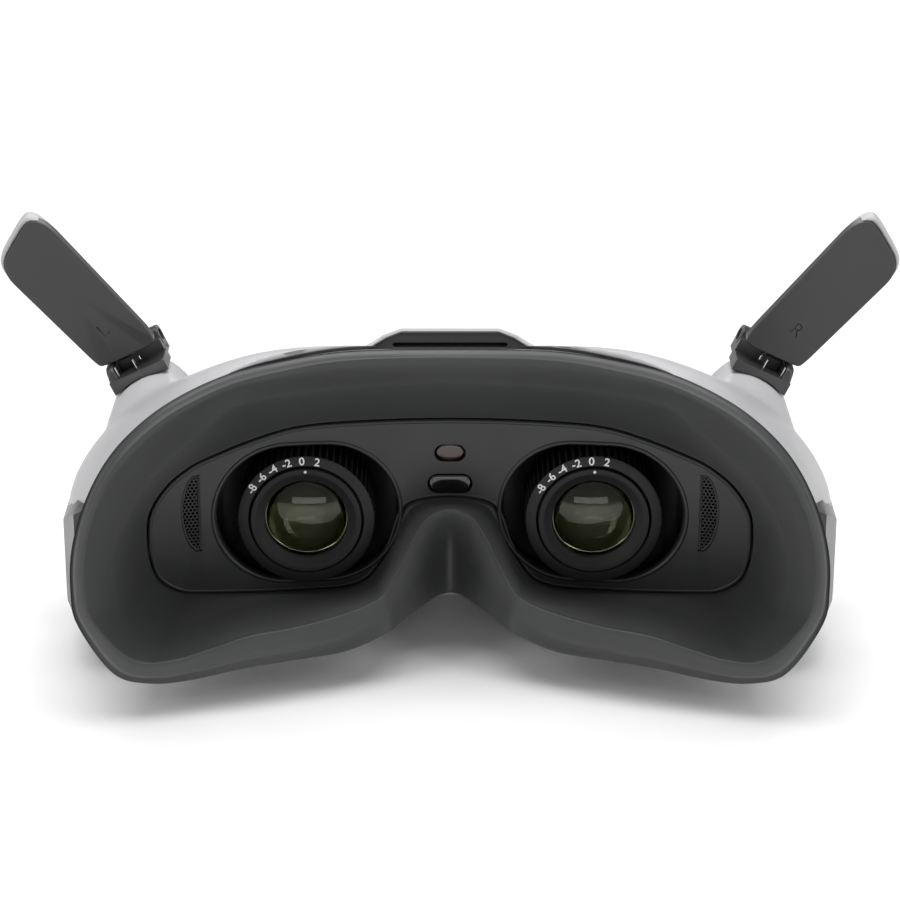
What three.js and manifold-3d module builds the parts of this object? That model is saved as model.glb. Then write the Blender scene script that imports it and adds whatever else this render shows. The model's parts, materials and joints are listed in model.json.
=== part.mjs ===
// First-person-view goggles, millimetres, +Z up.
// The wearer's face is on the -Y side, the front visor on the +Y side, +X is the wearer's right.
// The lens axes run along Y. The antennas stand in their open position.
import * as THREE from 'three';
import { ConvexGeometry } from 'three/addons/geometries/ConvexGeometry.js';
import { mergeVertices } from 'three/addons/utils/BufferGeometryUtils.js';
import Module from 'manifold-3d';

// ---- driving dimensions -------------------------------------------------------------------
const GAP = 0.35;                 // clearance kept between neighbouring solids
const WALL = 2.2;                 // housing wall
const MIDDLE_Y = 1.95;            // middle of the overall depth, moved to Y = 0 at the end

const LENS_X = 31.3;              // half of the distance between the lens axes
const LENS_Z = 32.5;
const RING_R = 15;                // diopter ring, over its teeth
const RING_BORE_R = 12.45;
const RING_TEETH = 60;
const PINION_TEETH = 24;
const RING_PITCH_R = 14.6;
const PINION_PITCH_R = RING_PITCH_R * PINION_TEETH / RING_TEETH;
const WHEEL_Z = LENS_Z - RING_PITCH_R - PINION_PITCH_R;   // height of the focus wheel's shaft
const WHEEL_R = 9;
const SHAFT_R = 1.5;
const BARREL_R = 11.05;
const FLANGE_R = 12.1;
const GLASS_R = 9.4;
const ROUND = 24;                 // facets round the lens parts
const ROD_R = 1.2;
const ROD_Y = 8;
const ROD_Z = [17, 49.6];

const PLATE_T = 2.2;              // face plate thickness
const WINDOW_X = 31.15;
const WINDOW_HALF_W = 19.75;      // stadium window that a lens slides in
const WINDOW_HALF_H = 15.6;
const WINDOW_Z = 32.8;

const PIN = { x: 70.3, y: 19.5, z: 62.2, tilt: 25.4, r: 1.1 };   // antenna hinge pin, right side
const KNUCKLE_R = 2.4;
const BLADE_Y = [-7.2, -2.7];     // blade faces, measured from the pin

const FAN_Z = 26;
const FAN_R = 10;
const BUTTON = { x: 30, y: 26, top: 57, r: 3.4, flange: 4.6 };

// ---- materials ----------------------------------------------------------------------------
const finish = {
  lightShell: { color: 0xb9b9c2, roughness: 0.5, metalness: 0.05 },
  darkPlastic: { color: 0x3c3e40, roughness: 0.55, metalness: 0 },
  visor: { color: 0x101113, roughness: 0.12, metalness: 0.1 },
  pad: { color: 0x3a3c3d, roughness: 0.75, metalness: 0 },
  plate: { color: 0x2e3031, roughness: 0.6, metalness: 0 },
  black: { color: 0x0c0c0d, roughness: 0.5, metalness: 0 },
  ring: { color: 0x2b2c2c, roughness: 0.6, metalness: 0 },
  glass: { color: 0x5a5f3c, roughness: 0.05, metalness: 0 },
  steel: { color: 0xa7abb0, roughness: 0.3, metalness: 0.9 },
  board: { color: 0x1f5a3a, roughness: 0.6, metalness: 0 },
  aluminium: { color: 0x9fa3a8, roughness: 0.4, metalness: 0.8 },
  amber: { color: 0x5b4a44, roughness: 0.2, metalness: 0 },
};

// ---- solid modelling helpers --------------------------------------------------------------
const wasm = await Module();
wasm.setup();

function solid(geometry) {
  const bare = geometry.clone();
  bare.deleteAttribute('normal');
  bare.deleteAttribute('uv');
  const merged = mergeVertices(bare, 1e-4);
  return new wasm.Manifold(new wasm.Mesh({
    numProp: 3,
    vertProperties: new Float32Array(merged.attributes.position.array),
    triVerts: new Uint32Array(merged.index.array),
  }));
}

function geometryOf(body) {
  const mesh = body.getMesh();
  const geometry = new THREE.BufferGeometry();
  geometry.setAttribute('position', new THREE.BufferAttribute(new Float32Array(mesh.vertProperties), 3));
  geometry.setIndex(new THREE.BufferAttribute(new Uint32Array(mesh.triVerts), 1));
  geometry.computeVertexNormals();
  return geometry;
}

const join = (first, ...others) => others.reduce((sum, next) => sum.add(next), first);
const cut = (first, ...tools) => tools.reduce((rest, tool) => rest.subtract(tool), first);

// A box given by its low and high corners.
function block(low, high) {
  const size = high.map((value, i) => value - low[i]);
  const centre = high.map((value, i) => (value + low[i]) / 2);
  return solid(new THREE.BoxGeometry(...size).translate(...centre));
}

// A cylinder along an axis, from one station on it to another.
function rod(axis, radius, from, to, [a, b], sides = 24) {
  const geometry = new THREE.CylinderGeometry(radius, radius, to - from, sides);
  const middle = (from + to) / 2;
  if (axis === 'x') geometry.rotateZ(Math.PI / 2).translate(middle, a, b);
  if (axis === 'y') geometry.translate(a, middle, b);
  if (axis === 'z') geometry.rotateX(Math.PI / 2).translate(a, b, middle);
  return solid(geometry);
}

// An outline in the XZ plane, extruded from one Y to another.
function prismY(outline, from, to) {
  const shape = new THREE.Shape(outline.map(([x, z]) => new THREE.Vector2(x, -z)));
  const geometry = new THREE.ExtrudeGeometry(shape, { depth: to - from, bevelEnabled: false });
  return solid(geometry.rotateX(-Math.PI / 2).translate(0, from, 0));
}

// An outline in the XY plane, extruded upwards.
function prismZ(outline, from, to) {
  const shape = new THREE.Shape(outline.map(([x, y]) => new THREE.Vector2(x, y)));
  const geometry = new THREE.ExtrudeGeometry(shape, { depth: to - from, bevelEnabled: false });
  return solid(geometry.translate(0, 0, from));
}

// An outline in the YZ plane, extruded along X.
function prismX(outline, from, to) {
  const shape = new THREE.Shape(outline.map(([y, z]) => new THREE.Vector2(y, z)));
  const geometry = new THREE.ExtrudeGeometry(shape, { depth: to - from, bevelEnabled: false });
  const turn = new THREE.Matrix4().set(0, 0, 1, 0, 1, 0, 0, 0, 0, 1, 0, 0, 0, 0, 0, 1);
  return solid(geometry.applyMatrix4(turn).translate(from, 0, 0));
}

// A solid through rings of equal length; the end rings are capped, or joined when it closes on itself.
function loft(rings, closed = false) {
  const count = rings[0].length;
  const positions = rings.flat(2);
  const index = [];
  const spans = closed ? rings.length : rings.length - 1;
  for (let i = 0; i < spans; i += 1) {
    const next = (i + 1) % rings.length;
    for (let j = 0; j < count; j += 1) {
      const k = (j + 1) % count;
      index.push(i * count + j, next * count + j, next * count + k);
      index.push(i * count + j, next * count + k, i * count + k);
    }
  }
  if (!closed) {
    [0, rings.length - 1].forEach((ring) => {
      const centre = positions.length / 3;
      [0, 1, 2].forEach((axis) => {
        positions.push(rings[ring].reduce((sum, point) => sum + point[axis], 0) / count);
      });
      for (let j = 0; j < count; j += 1) {
        const k = (j + 1) % count;
        const pair = ring === 0 ? [ring * count + j, ring * count + k] : [ring * count + k, ring * count + j];
        index.push(centre, ...pair);
      }
    });
  }
  const geometry = new THREE.BufferGeometry();
  geometry.setAttribute('position', new THREE.Float32BufferAttribute(positions, 3));
  geometry.setIndex(index);
  const body = solid(geometry);
  if (body.volume() > 0) return body;
  for (let i = 0; i < index.length; i += 3) {
    [index[i], index[i + 1]] = [index[i + 1], index[i]];
  }
  geometry.setIndex(index);
  return solid(geometry);
}

const lerp = (a, b, t) => a + (b - a) * t;
const mix = (p, q, t) => p.map((value, i) => lerp(value, q[i], t));

// A half outline from top centre to bottom centre, mirrored into a whole one.
const mirrorHalf = (half) => [...half, ...half.slice(1, -1).reverse().map(([x, ...rest]) => [-x, ...rest])];

// Points of a smooth curve through the given ones.
function smooth(points, steps) {
  const curve = new THREE.CatmullRomCurve3(points.map((p) => new THREE.Vector3(...p)), true, 'centripetal');
  const out = [];
  for (let i = 0; i < points.length * steps; i += 1) {
    out.push(curve.getPoint(i / (points.length * steps)).toArray());
  }
  return out;
}

// Moves a closed outline in or out along its own normals, two of whose coordinates are x and z.
function offsetOutline(points, distance) {
  const count = points.length;
  return points.map(([x, z], i) => {
    const [ax, az] = points[(i + count - 1) % count];
    const [bx, bz] = points[(i + 1) % count];
    const length = Math.hypot(bx - ax, bz - az);
    const side = Math.sign(signedArea(points));
    return [x + side * distance * (bz - az) / length, z - side * distance * (bx - ax) / length];
  });
}

function signedArea(points) {
  return points.reduce((sum, [x, z], i) => {
    const [u, v] = points[(i + 1) % points.length];
    return sum + (x * v - u * z) / 2;
  }, 0);
}

// A slot with round ends, long along X.
function stadium(cx, cz, halfW, halfH, steps = 12) {
  const out = [];
  const straight = halfW - halfH;
  for (let i = 0; i <= steps; i += 1) {
    const angle = -Math.PI / 2 + Math.PI * i / steps;
    out.push([cx + straight + halfH * Math.cos(angle), cz + halfH * Math.sin(angle)]);
  }
  for (let i = 0; i <= steps; i += 1) {
    const angle = Math.PI / 2 + Math.PI * i / steps;
    out.push([cx - straight + halfH * Math.cos(angle), cz + halfH * Math.sin(angle)]);
  }
  return out;
}

// A toothed outline in the XZ plane with one tooth at the given angle.
function gearOutline(teeth, outer, root, phase) {
  const out = [];
  const pitch = 2 * Math.PI / teeth;
  for (let i = 0; i < teeth; i += 1) {
    const angle = phase + i * pitch;
    [[-0.27, root], [-0.12, outer], [0.12, outer], [0.27, root]].forEach(([at, radius]) => {
      out.push([radius * Math.cos(angle + at * pitch), radius * Math.sin(angle + at * pitch)]);
    });
  }
  return out;
}

const goggles = new THREE.Group();

function addNode(name, body, look, parent = goggles) {
  const mesh = new THREE.Mesh(geometryOf(body), new THREE.MeshStandardMaterial(finish[look]));
  mesh.name = name;
  parent.add(mesh);
  return mesh;
}

const flipX = (body) => body.mirror([1, 0, 0]);
const SIDES = [['right', 1], ['left', -1]];
const onSide = (body, side) => (side > 0 ? body : flipX(body));

// ---- face plate surface and face pad loops ------------------------------------------------
const plateY = (x) => -4.5 - 7.5 * (Math.min(Math.abs(x), 70) / 66) ** 2;

// Right half of the pad, from the middle of the forehead round the temple to the nose.
// rim is the outer edge, crest touches the face, ledge is the inner step, seam meets the plate.
const PAD_STATIONS = [
  { rim: [0, -21, 76], crest: [0, -24, 75.3], ledge: [0, -17, 67.5], seam: [0, 54.3] },
  { rim: [22, -22.5, 76.2], crest: [21.5, -25.5, 75.2], ledge: [21, -18.5, 67], seam: [21.5, 53.9] },
  { rim: [37.5, -27, 75.2], crest: [36.5, -30, 74], ledge: [36, -21.5, 66], seam: [33.7, 53] },
  { rim: [48, -31, 73.5], crest: [46.5, -34, 72.3], ledge: [45.5, -24, 64.5], seam: [43.2, 50.4] },
  { rim: [58.5, -36.5, 69.7], crest: [56.8, -39.5, 68.5], ledge: [52, -25, 59.5], seam: [50.5, 47.7] },
  { rim: [66.2, -41.5, 64.6], crest: [64, -44, 63.6], ledge: [58.6, -28, 54.5], seam: [56, 45.3] },
  { rim: [71.3, -45, 58.7], crest: [69, -47.5, 58.2], ledge: [64, -30, 49.3], seam: [61.4, 41] },
  { rim: [75.2, -47.5, 50.8], crest: [72.6, -49.5, 51], ledge: [68.6, -33, 42.3], seam: [65.2, 35.1] },
  { rim: [77.7, -48, 41.7], crest: [74.8, -50, 42.5], ledge: [71, -36, 35.4], seam: [66, 29] },
  { rim: [78.4, -47, 32.5], crest: [75.5, -49, 34], ledge: [71, -36, 27.6], seam: [65.6, 23.5] },
  { rim: [77.7, -45, 23.8], crest: [74.2, -47, 26], ledge: [69, -33, 20], seam: [63.8, 18.5] },
  { rim: [71.3, -41, 10.5], crest: [67, -44, 15.2], ledge: [62, -30, 15.5], seam: [59.2, 15.2] },
  { rim: [63.9, -39, 7], crest: [59, -42.5, 14], ledge: [55.5, -26, 15.8], seam: [53.9, 14.4] },
  { rim: [55.2, -37, 6.8], crest: [51, -40, 15.6], ledge: [48.5, -21, 15.9], seam: [48, 14] },
  { rim: [44.3, -34, 8], crest: [42.6, -38, 18], ledge: [41, -16, 15.2], seam: [40.8, 13.7] },
  { rim: [33.4, -31, 8.5], crest: [32.4, -34, 18.4], ledge: [31.2, -12, 14.2], seam: [32, 13.7] },
  { rim: [22.5, -28.5, 9.4], crest: [22, -30, 19.9], ledge: [22.5, -10, 14.6], seam: [23.7, 14] },
  { rim: [14, -25, 12], crest: [15.2, -26, 21.4], ledge: [16.6, -10, 16.8], seam: [18.4, 15.8] },
  { rim: [10.8, -21, 12.8], crest: [12.6, -24, 24.2], ledge: [13.8, -10, 20.6], seam: [15.2, 19.6] },
  { rim: [7.9, -15, 12.7], crest: [10.1, -21.5, 28], ledge: [11.4, -10, 26], seam: [12.5, 24.6] },
  { rim: [5.1, -10, 12.6], crest: [7.7, -19, 32.3], ledge: [9.2, -9, 30.6], seam: [10.7, 30.3] },
  { rim: [2.7, -6, 12.4], crest: [4.5, -17.5, 36.6], ledge: [6.3, -8, 34.2], seam: [8.3, 34.1] },
  { rim: [0, -4, 12.2], crest: [0, -17, 38.2], ledge: [0, -7, 35], seam: [0, 35.3] },
];
// The wall of the nose recess, at the last stations only; elsewhere the outside rolls over to the rim.
const FIRST_NOSE_STATION = 17;
const NOSE_WALL = [
  [14.4, -25, 17.8], [12.5, -22, 18.6], [10, -17, 20], [7.2, -11, 22.5], [3.8, -6, 26], [0, -3, 27.4],
];

const onPlate = ([x, z]) => [x, plateY(x), z];
const shoulder = ({ rim, crest }) => (
  [lerp(crest[0], rim[0], 0.55), lerp(crest[1], rim[1], 0.3), lerp(crest[2], rim[2], 0.55)]
);

// Three back corners of the pad's section, from the rim inwards.
function padBack(station, i) {
  const seam = onPlate(station.seam);
  const isNose = i >= FIRST_NOSE_STATION;
  const depth = isNose ? 3 : 9;
  const outer = mix(station.rim, seam, isNose ? 0 : 0.22);
  outer[1] = station.rim[1] + depth;
  const inner = mix(seam, station.rim, isNose ? 0.06 : 0.12);
  inner[1] = seam[1] + 3;
  return [outer, mix(outer, inner, 0.5), inner];
}

// Loops of the pad's section, each a closed line round the whole pad.
const padLoops = [
  PAD_STATIONS.map(({ seam }) => onPlate(seam)),
  PAD_STATIONS.map(({ ledge }) => ledge),
  PAD_STATIONS.map(({ crest }) => crest),
  PAD_STATIONS.map((station, i) => (
    i < FIRST_NOSE_STATION ? shoulder(station) : NOSE_WALL[i - FIRST_NOSE_STATION]
  )),
  PAD_STATIONS.map(({ rim }) => rim),
  ...[0, 1, 2].map((corner) => PAD_STATIONS.map((station, i) => padBack(station, i)[corner])),
].map(mirrorHalf);

const shiftY = (loop, distance) => loop.map(([x, y, z]) => [x, y + distance, z]);
const backLoops = padLoops.slice(5);

// ---- housing sections ---------------------------------------------------------------------
// Right half of the housing at several depths, from top centre to bottom centre, as [x, z].
const HOUSING_SECTIONS = [
  [-44, [
    [0, 70], [22, 69.5], [42, 66.5], [57, 59], [67, 48.5], [72, 36],
    [71.5, 24], [66.5, 14], [56, 9.5], [32, 9.5], [0, 14],
  ]],
  [-24, [
    [0, 73], [22, 72.5], [42, 69], [58, 61], [70, 50], [76, 37],
    [75.5, 24], [69.5, 13], [57, 7.5], [32, 6.5], [0, 12],
  ]],
  [-10, [
    [0, 71.8], [22, 72.2], [42, 70.3], [60, 62.6], [74, 50], [81.5, 36],
    [81, 22], [73.5, 10], [58, 4.5], [32, 3], [0, 9],
  ]],
  [2, [
    [0, 67.8], [22, 68.4], [42, 66.6], [60, 60.2], [75, 49.5], [83.7, 35],
    [83, 20], [75, 7.5], [58, 1.8], [32, 0.6], [0, 3.5],
  ]],
  [12, [
    [0, 63.8], [22, 63], [42, 62.2], [58, 56], [71, 46.5], [78, 33.5],
    [77, 19], [70, 6.5], [56, 1], [32, 0], [0, 0],
  ]],
  [19, [
    [0, 60.8], [20, 60.2], [36, 57.6], [47, 52.5], [53, 44], [55.5, 32],
    [55, 18], [51, 7], [42, 1.2], [28, 0], [0, 0],
  ]],
  [34, [
    [0, 54.3], [20, 53.8], [34, 51.8], [43.5, 47], [49.5, 39.5], [52, 30],
    [51.5, 18], [48, 8], [40, 2], [26, 0], [0, 0],
  ]],
  [46, [
    [0, 48.2], [18, 47.7], [30, 46], [39, 41.8], [44.5, 35.5], [47, 28],
    [46.3, 18.5], [43, 9.5], [35, 4], [22, 2], [0, 2],
  ]],
];

function housingRing([y, half], offset, steps = 2) {
  const outline = smooth(mirrorHalf(half).map(([x, z]) => [x, 0, z]), steps).map(([x, , z]) => [x, z]);
  return offsetOutline(outline, offset).map(([x, z]) => [x, y, z]);
}
const housingLoft = (offset) => loft(HOUSING_SECTIONS.map((section) => housingRing(section, offset)));

// The room inside the housing, open at the rear.
const HOLLOW_SECTIONS = HOUSING_SECTIONS.map(([y, half], i) => (
  [i === 0 ? -50 : Math.min(y, 46 - WALL), half]
));
const inside = (inset) => loft(HOLLOW_SECTIONS.map((section) => housingRing(section, -inset, 1)));

// The arch under the nose, grown by g, which narrows towards the front.
function noseArch(g) {
  const rear = [[-34 - g, -3], [34 + g, -3], [13 + g, 21 + g], [0, 28 + g], [-13 - g, 21 + g]];
  const front = [[-11 - g, -3], [11 + g, -3], [6 + g, -0.5 + g], [0, 0.2 + g], [-6 - g, -0.5 + g]];
  return loft([rear.map(([x, z]) => [x, -46, z]), front.map(([x, z]) => [x, 25, z])]);
}

// Everything on the face side of the pad frame, used to trim the housing's rear edge to it.
function behindPadFrame(clearance) {
  const loops = backLoops.map((loop) => shiftY(loop, clearance));
  const spread = (loop, scale) => loop.map(([x, y, z]) => [x * scale, y - 4, 40 + (z - 40) * scale]);
  const outermost = spread(loops[0], 1.5);
  const flat = (loop, y) => loop.map(([x, , z]) => [x, y, z]);
  return loft([flat(outermost, -70), outermost, ...loops]);
}

// Crown on top of the housing that carries the rear-facing air outlet.
const CROWN_REAR_Y = -4.6;
const CROWN = [
  [-20.5, 66], [-20.3, 69.9], [-14.5, 73.6], [-10.6, 75.2],
  [10.6, 75.2], [14.5, 73.6], [20.3, 69.9], [20.5, 66],
];
function crown(inset, fromY) {
  const rear = offsetOutline([...CROWN].reverse(), -inset);
  const front = rear.map(([x, z]) => [x * 0.8, 45 + (z - 70) * 0.5]);
  const at = (t) => rear.map((point, i) => {
    const [x, z] = mix(point, front[i], t);
    return [x, lerp(CROWN_REAR_Y, 40, t), z];
  });
  const start = (fromY - CROWN_REAR_Y) / (40 - CROWN_REAR_Y);
  return loft([at(start), at(0.98)]);
}

// ---- housing ------------------------------------------------------------------------------
const pocket = { halfW: 14.5, y0: 10.2, y1: 20, z: 7.5, wall: 1.8 };   // recess of a focus wheel
const sockets = [
  { name: 'usb_socket', x: -34, w: 9.2, d: 3.6 },
  { name: 'audio_socket', x: -22, w: 6, d: 6 },
  { name: 'card_slot', x: 22, w: 12, d: 2.6 },
  { name: 'power_socket', x: 34, w: 8, d: 8 },
];
const SOCKET_Y = 29;
const coverHole = { x: 12, y0: 26.5, y1: 41.5, z: 1.4 };

function buildHousing() {
  const stub = antennaStub();
  const outer = cut(join(housingLoft(0), crown(0, CROWN_REAR_Y), stub, flipX(stub)), noseArch(0));
  const hollow = cut(inside(WALL), noseArch(WALL));
  let shell = cut(outer, hollow, behindPadFrame(7));
  SIDES.forEach(([, side]) => {
    const x = side * LENS_X;
    const { halfW, y0, y1, z, wall } = pocket;
    const floor = block([x - halfW - wall, y0 - wall / 2, 0.3], [x + halfW + wall, y1 + wall, z + wall]);
    const hole = block([x - halfW, y0, -1], [x + halfW, y1, z]);
    const slot = block([x - halfW + 1.5, 10.6, 5], [x + halfW - 1.5, 16.9, z + wall + 1]);
    shell = cut(join(shell, floor), hole, slot);
    shell = cut(shell, rod('z', BUTTON.r + GAP, 45, 70, [side * BUTTON.x, BUTTON.y]));
  });
  sockets.forEach(({ x, w, d }) => {
    const reach = [w / 2 + GAP, d / 2 + GAP];
    const [low, high] = [SOCKET_Y - reach[1], SOCKET_Y + reach[1]];
    shell = cut(shell, block([x - reach[0], low, -1], [x + reach[0], high, 6]));
  });
  const rebate = block([-coverHole.x, coverHole.y0, -1], [coverHole.x, coverHole.y1, coverHole.z]);
  const service = block([-coverHole.x + 3, coverHole.y0 + 3, -1], [coverHole.x - 3, coverHole.y1 - 3, 4]);
  const intake = rod('y', FAN_R, 40, 50, [0, FAN_Z], 32);
  const outlet = cut(crown(0.9, CROWN_REAR_Y - 1), block([-40, CROWN_REAR_Y + 3.4, 50], [40, 60, 90]));
  const duct = block([-11, -6, 60], [11, 4, 71.4]);
  const underside = block([-100, -60, -5], [100, 60, 0]);
  return cut(shell, rebate, service, intake, outlet, duct, underside);
}

// Root of an antenna, growing out of the housing's upper corner to the hinge collar.
function antennaStub() {
  const foot = [[55, 46], [74, 42], [77, 44.5], [75, 49], [70, 53], [58, 56.5]];
  const top = [[61.5, 58], [73.2, 52.3], [73.8, 53.4], [70.8, 56.6], [67, 58.9], [62.3, 59.8]];
  const corners = [[foot, 1], [foot, 17], [top, 9.5], [top, 18.8]].flatMap(([outline, y]) => (
    outline.map(([x, z]) => new THREE.Vector3(x, y, z))
  ));
  return solid(new ConvexGeometry(corners));
}

// ---- face side ----------------------------------------------------------------------------
function buildFacePlate() {
  const outline = mirrorHalf(PAD_STATIONS.map(({ seam }) => seam));
  const prism = prismY(offsetOutline(outline, -GAP), -30, 10);
  const columns = 28;
  const halfWidth = 72;
  const ring = (shift) => Array.from({ length: columns + 1 }, (_, i) => {
    const x = lerp(-halfWidth, halfWidth, i / columns);
    return [x, plateY(x) + shift];
  });
  const strip = [...ring(0), ...ring(PLATE_T).reverse()];
  const slab = prismZ(strip, 0, 70);
  let plate = prism.intersect(slab);
  SIDES.forEach(([, side]) => {
    plate = cut(plate, prismY(stadium(side * WINDOW_X, WINDOW_Z, WINDOW_HALF_W, WINDOW_HALF_H), -30, 10));
    plate = cut(plate, onSide(prismY(grilleOutline(0), -30, 10), side));
  });
  const sensors = [stadium(0, 46.1, 3.1 + GAP, 1.65 + GAP), stadium(0, 38.9, 4.6 + GAP, 2 + GAP)];
  return cut(plate, ...sensors.map((shape) => prismY(shape, -30, 10)));
}

// Crescent of the side vents: straight towards the lens, bowed towards the temple.
function grilleOutline(inset) {
  const out = [];
  const low = 25 + inset;
  const high = 43 - inset;
  const steps = 10;
  for (let i = 0; i <= steps; i += 1) {
    const t = i / steps;
    out.push([55.6 + 2.9 * Math.sin(Math.PI * t) - inset, lerp(low, high, t)]);
  }
  out.push([54.2 + inset, high], [54 + inset, low]);
  return out;
}

function curvedPlug(outline, depth, thickness) {
  const columns = 20;
  const half = 72;
  const edge = (shift) => Array.from({ length: columns + 1 }, (_, i) => {
    const x = lerp(-half, half, i / columns);
    return [x, plateY(x) + shift];
  });
  const slab = prismZ([...edge(depth), ...edge(depth + thickness).reverse()], 0, 70);
  return prismY(outline, -30, 10).intersect(slab);
}

function buildPadFrame() {
  const front = backLoops.map((loop) => shiftY(loop, 1.6));
  const rear = backLoops.map((loop) => shiftY(loop, 5)).reverse();
  return loft([...front, ...rear], true);
}

// ---- temple plates ------------------------------------------------------------------------
const STRAP_BAR = { x: 82.9, y: 10.4, r: 1.2, z: [14.6, 31.4] };

function buildTemplePlate() {
  const plan = [[70, -20], [80.5, -20], [84.6, -6], [85.4, -1], [85.4, 13.5], [82.5, 17], [70, 17]];
  const side = [[-20, 15], [-20, 40.5], [-17, 42.5], [-11, 42.2], [-5, 39.5], [-1, 36.4], [6, 34.6], [17, 33],
    [17, 15], [12, 11.5], [-15, 11.5]];
  const shoulder = [
    [60, 10], [86, 10], [86, 26.5], [85.2, 29.5], [83.2, 34], [80.6, 38], [76, 40.5], [60, 40.5],
  ];
  const body = prismZ(plan, 10, 44).intersect(prismX(side, 60, 90)).intersect(prismY(shoulder, -25, 20));
  const strapPocket = block([79.5, 6.6, 16.6], [90, 14.2, 29.6]);
  const barHole = rod('z', STRAP_BAR.r + GAP, 14.2, 31.8, [STRAP_BAR.x, STRAP_BAR.y], 16);
  return cut(body, housingLoft(GAP), strapPocket, barHole);
}

// ---- antennas -----------------------------------------------------------------------------
// Local frame of an antenna: X along the pin, outwards, Z towards the tip, origin on the pin.
const BLADE = [
  [-6.5, 0.6], [-6.2, 3.8], [2.5, 35.6], [4.6, 38.1], [6.8, 38.6],
  [15.3, 33], [16.2, 29], [7.6, 1.3], [6.5, 0.6],
];
const LUGS = [[-6.6, -0.6], [4.2, 6.6]];      // thick inner lug, thin outer one
const insetBlade = (rim) => BLADE.map(([x, z]) => {
  const along = (z - 19) * (1 - rim / 19);
  const middle = 0.4 + 0.26 * z;
  return [middle + (x - middle) * (1 - rim / 7), 19 + along];
});

function buildAntenna() {
  const axis = [0, 0];
  const split = -6.2;                       // between the dark cover and the light body
  const inner = insetBlade(1);
  const knuckle = join(
    rod('x', KNUCKLE_R, LUGS[0][1] + GAP, LUGS[1][0] - GAP, axis, 20),
    block([LUGS[0][1] + GAP, BLADE_Y[1] - 0.4, 0.3], [LUGS[1][0] - GAP, 0.2, KNUCKLE_R]),
    block([LUGS[0][1] + GAP, BLADE_Y[1] - 0.4, 0.65], [LUGS[1][0] - GAP, -2, 4]),
  );
  const shellBody = cut(prismY(BLADE, BLADE_Y[0], BLADE_Y[1]), prismY(inner, BLADE_Y[0] - 1, split));
  const pinHole = rod('x', PIN.r + 0.3, -10, 10, axis, 20);
  const blade = cut(join(shellBody, knuckle), pinHole);
  const cover = prismY(insetBlade(1 + GAP), BLADE_Y[0] - 0.2, split - GAP);
  const saddle = [[-6.6, -5.3], [-3.2, -4.4], [0, -4.1], [3.4, -4.6], [6.6, -5.9], [6.6, -2.7], [-6.6, -2.7]];
  let collar = prismY(saddle, -10, -2.5);
  LUGS.forEach(([from, to]) => {
    const cheek = block([from, -3.4, -4], [to, KNUCKLE_R, 0]);
    const front = block([from, -9.4, -4], [to, -3, 0.1]);
    collar = join(collar, rod('x', KNUCKLE_R, from, to, axis, 20), cheek, front);
  });
  const pin = rod('x', PIN.r, -6.2, 6.2, axis, 20);
  return { blade, cover, collar: cut(collar, rod('x', PIN.r + 0.3, -10, 10, axis, 20)), pin };
}

// ---- lens modules -------------------------------------------------------------------------
// Built on the lens axis: X and Z are measured from it, Y is the real depth.
const wheelDrop = WHEEL_Z - LENS_Z;

function buildCarriage() {
  const plateHalf = 21.5;
  const bossHalf = 16;
  const top = ROD_Z[1] - LENS_Z;
  const bottom = ROD_Z[0] - LENS_Z;
  const plate = block([-plateHalf, 7, bottom - 2], [plateHalf, 9, top + 2]);
  const bosses = [bottom, top].map((z) => block([-bossHalf, 5.8, z - 2.2], [bossHalf, 10.2, z + 2]));
  const leg = block([-3.5, 7, wheelDrop - 3.4], [3.5, 9, bottom]);
  const arms = [-1, 1].map((side) => {
    const [a, b] = [side * 12.2, side * 13.8].sort((p, q) => p - q);
    return block([a, 8.8, -6], [b, 26.4, 6]);
  });
  const body = join(plate, ...bosses, leg, ...arms, rod('y', 12.15, -4.4, 8, [0, 0], ROUND));
  const holes = [
    rod('y', BARREL_R + GAP, -6, 12, [0, 0], ROUND),
    rod('y', SHAFT_R + GAP, 5, 11, [0, wheelDrop]),
    ...[bottom, top].map((z) => rod('x', ROD_R + 0.3, -30, 30, [ROD_Y, z])),
  ];
  return cut(body, ...holes);
}

function buildDiopterRing() {
  const bottomTooth = -Math.PI / 2;
  const gear = prismY(gearOutline(RING_TEETH, RING_R, RING_R - 0.95, bottomTooth), -9.6, 5.4);
  return cut(gear, rod('y', RING_BORE_R, -12, 8, [0, 0], ROUND));
}

function buildFocusWheel() {
  const topSpace = Math.PI / 2 + Math.PI / PINION_TEETH;
  const pinionOuter = PINION_PITCH_R + 0.4;
  const pinion = prismY(gearOutline(PINION_TEETH, pinionOuter, pinionOuter - 0.95, topSpace), 2.9, 5.3);
  const shaft = rod('y', SHAFT_R, 3, 13, [0, 0], 12);
  const knurl = prismY(gearOutline(24, WHEEL_R, WHEEL_R - 0.5, 0), 11, 16.2);
  return join(pinion, shaft, knurl).translate([0, 0, wheelDrop]);
}

function buildBarrel() {
  return cut(
    join(rod('y', BARREL_R, -9, 14, [0, 0], ROUND), rod('y', FLANGE_R, -10.2, -8.8, [0, 0], ROUND)),
    rod('y', GLASS_R + 0.3, -12, 16, [0, 0], ROUND),
  );
}

function buildEyeLens() {
  const profile = [[0, -9.4], [5.5, -8.8], [GLASS_R, -7.2], [GLASS_R, -4], [0, -2]];
  const points = profile.map(([r, y]) => new THREE.Vector2(r, y));
  return solid(new THREE.LatheGeometry(points, ROUND));
}

// ---- fan ----------------------------------------------------------------------------------
function buildFanHousing() {
  const frame = cut(block([-12, 37.6, -12], [12, 43.2, 12]), rod('y', FAN_R + 0.6, 30, 50, [0, 0], 32));
  const spokes = [0, 120, 240].map((angle) => (
    block([-0.8, 37.6, 0], [0.8, 38.6, FAN_R + 1]).rotate([0, angle, 0])
  ));
  return join(frame, rod('y', 3, 37.6, 38.6, [0, 0], 20), ...spokes);
}

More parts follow.
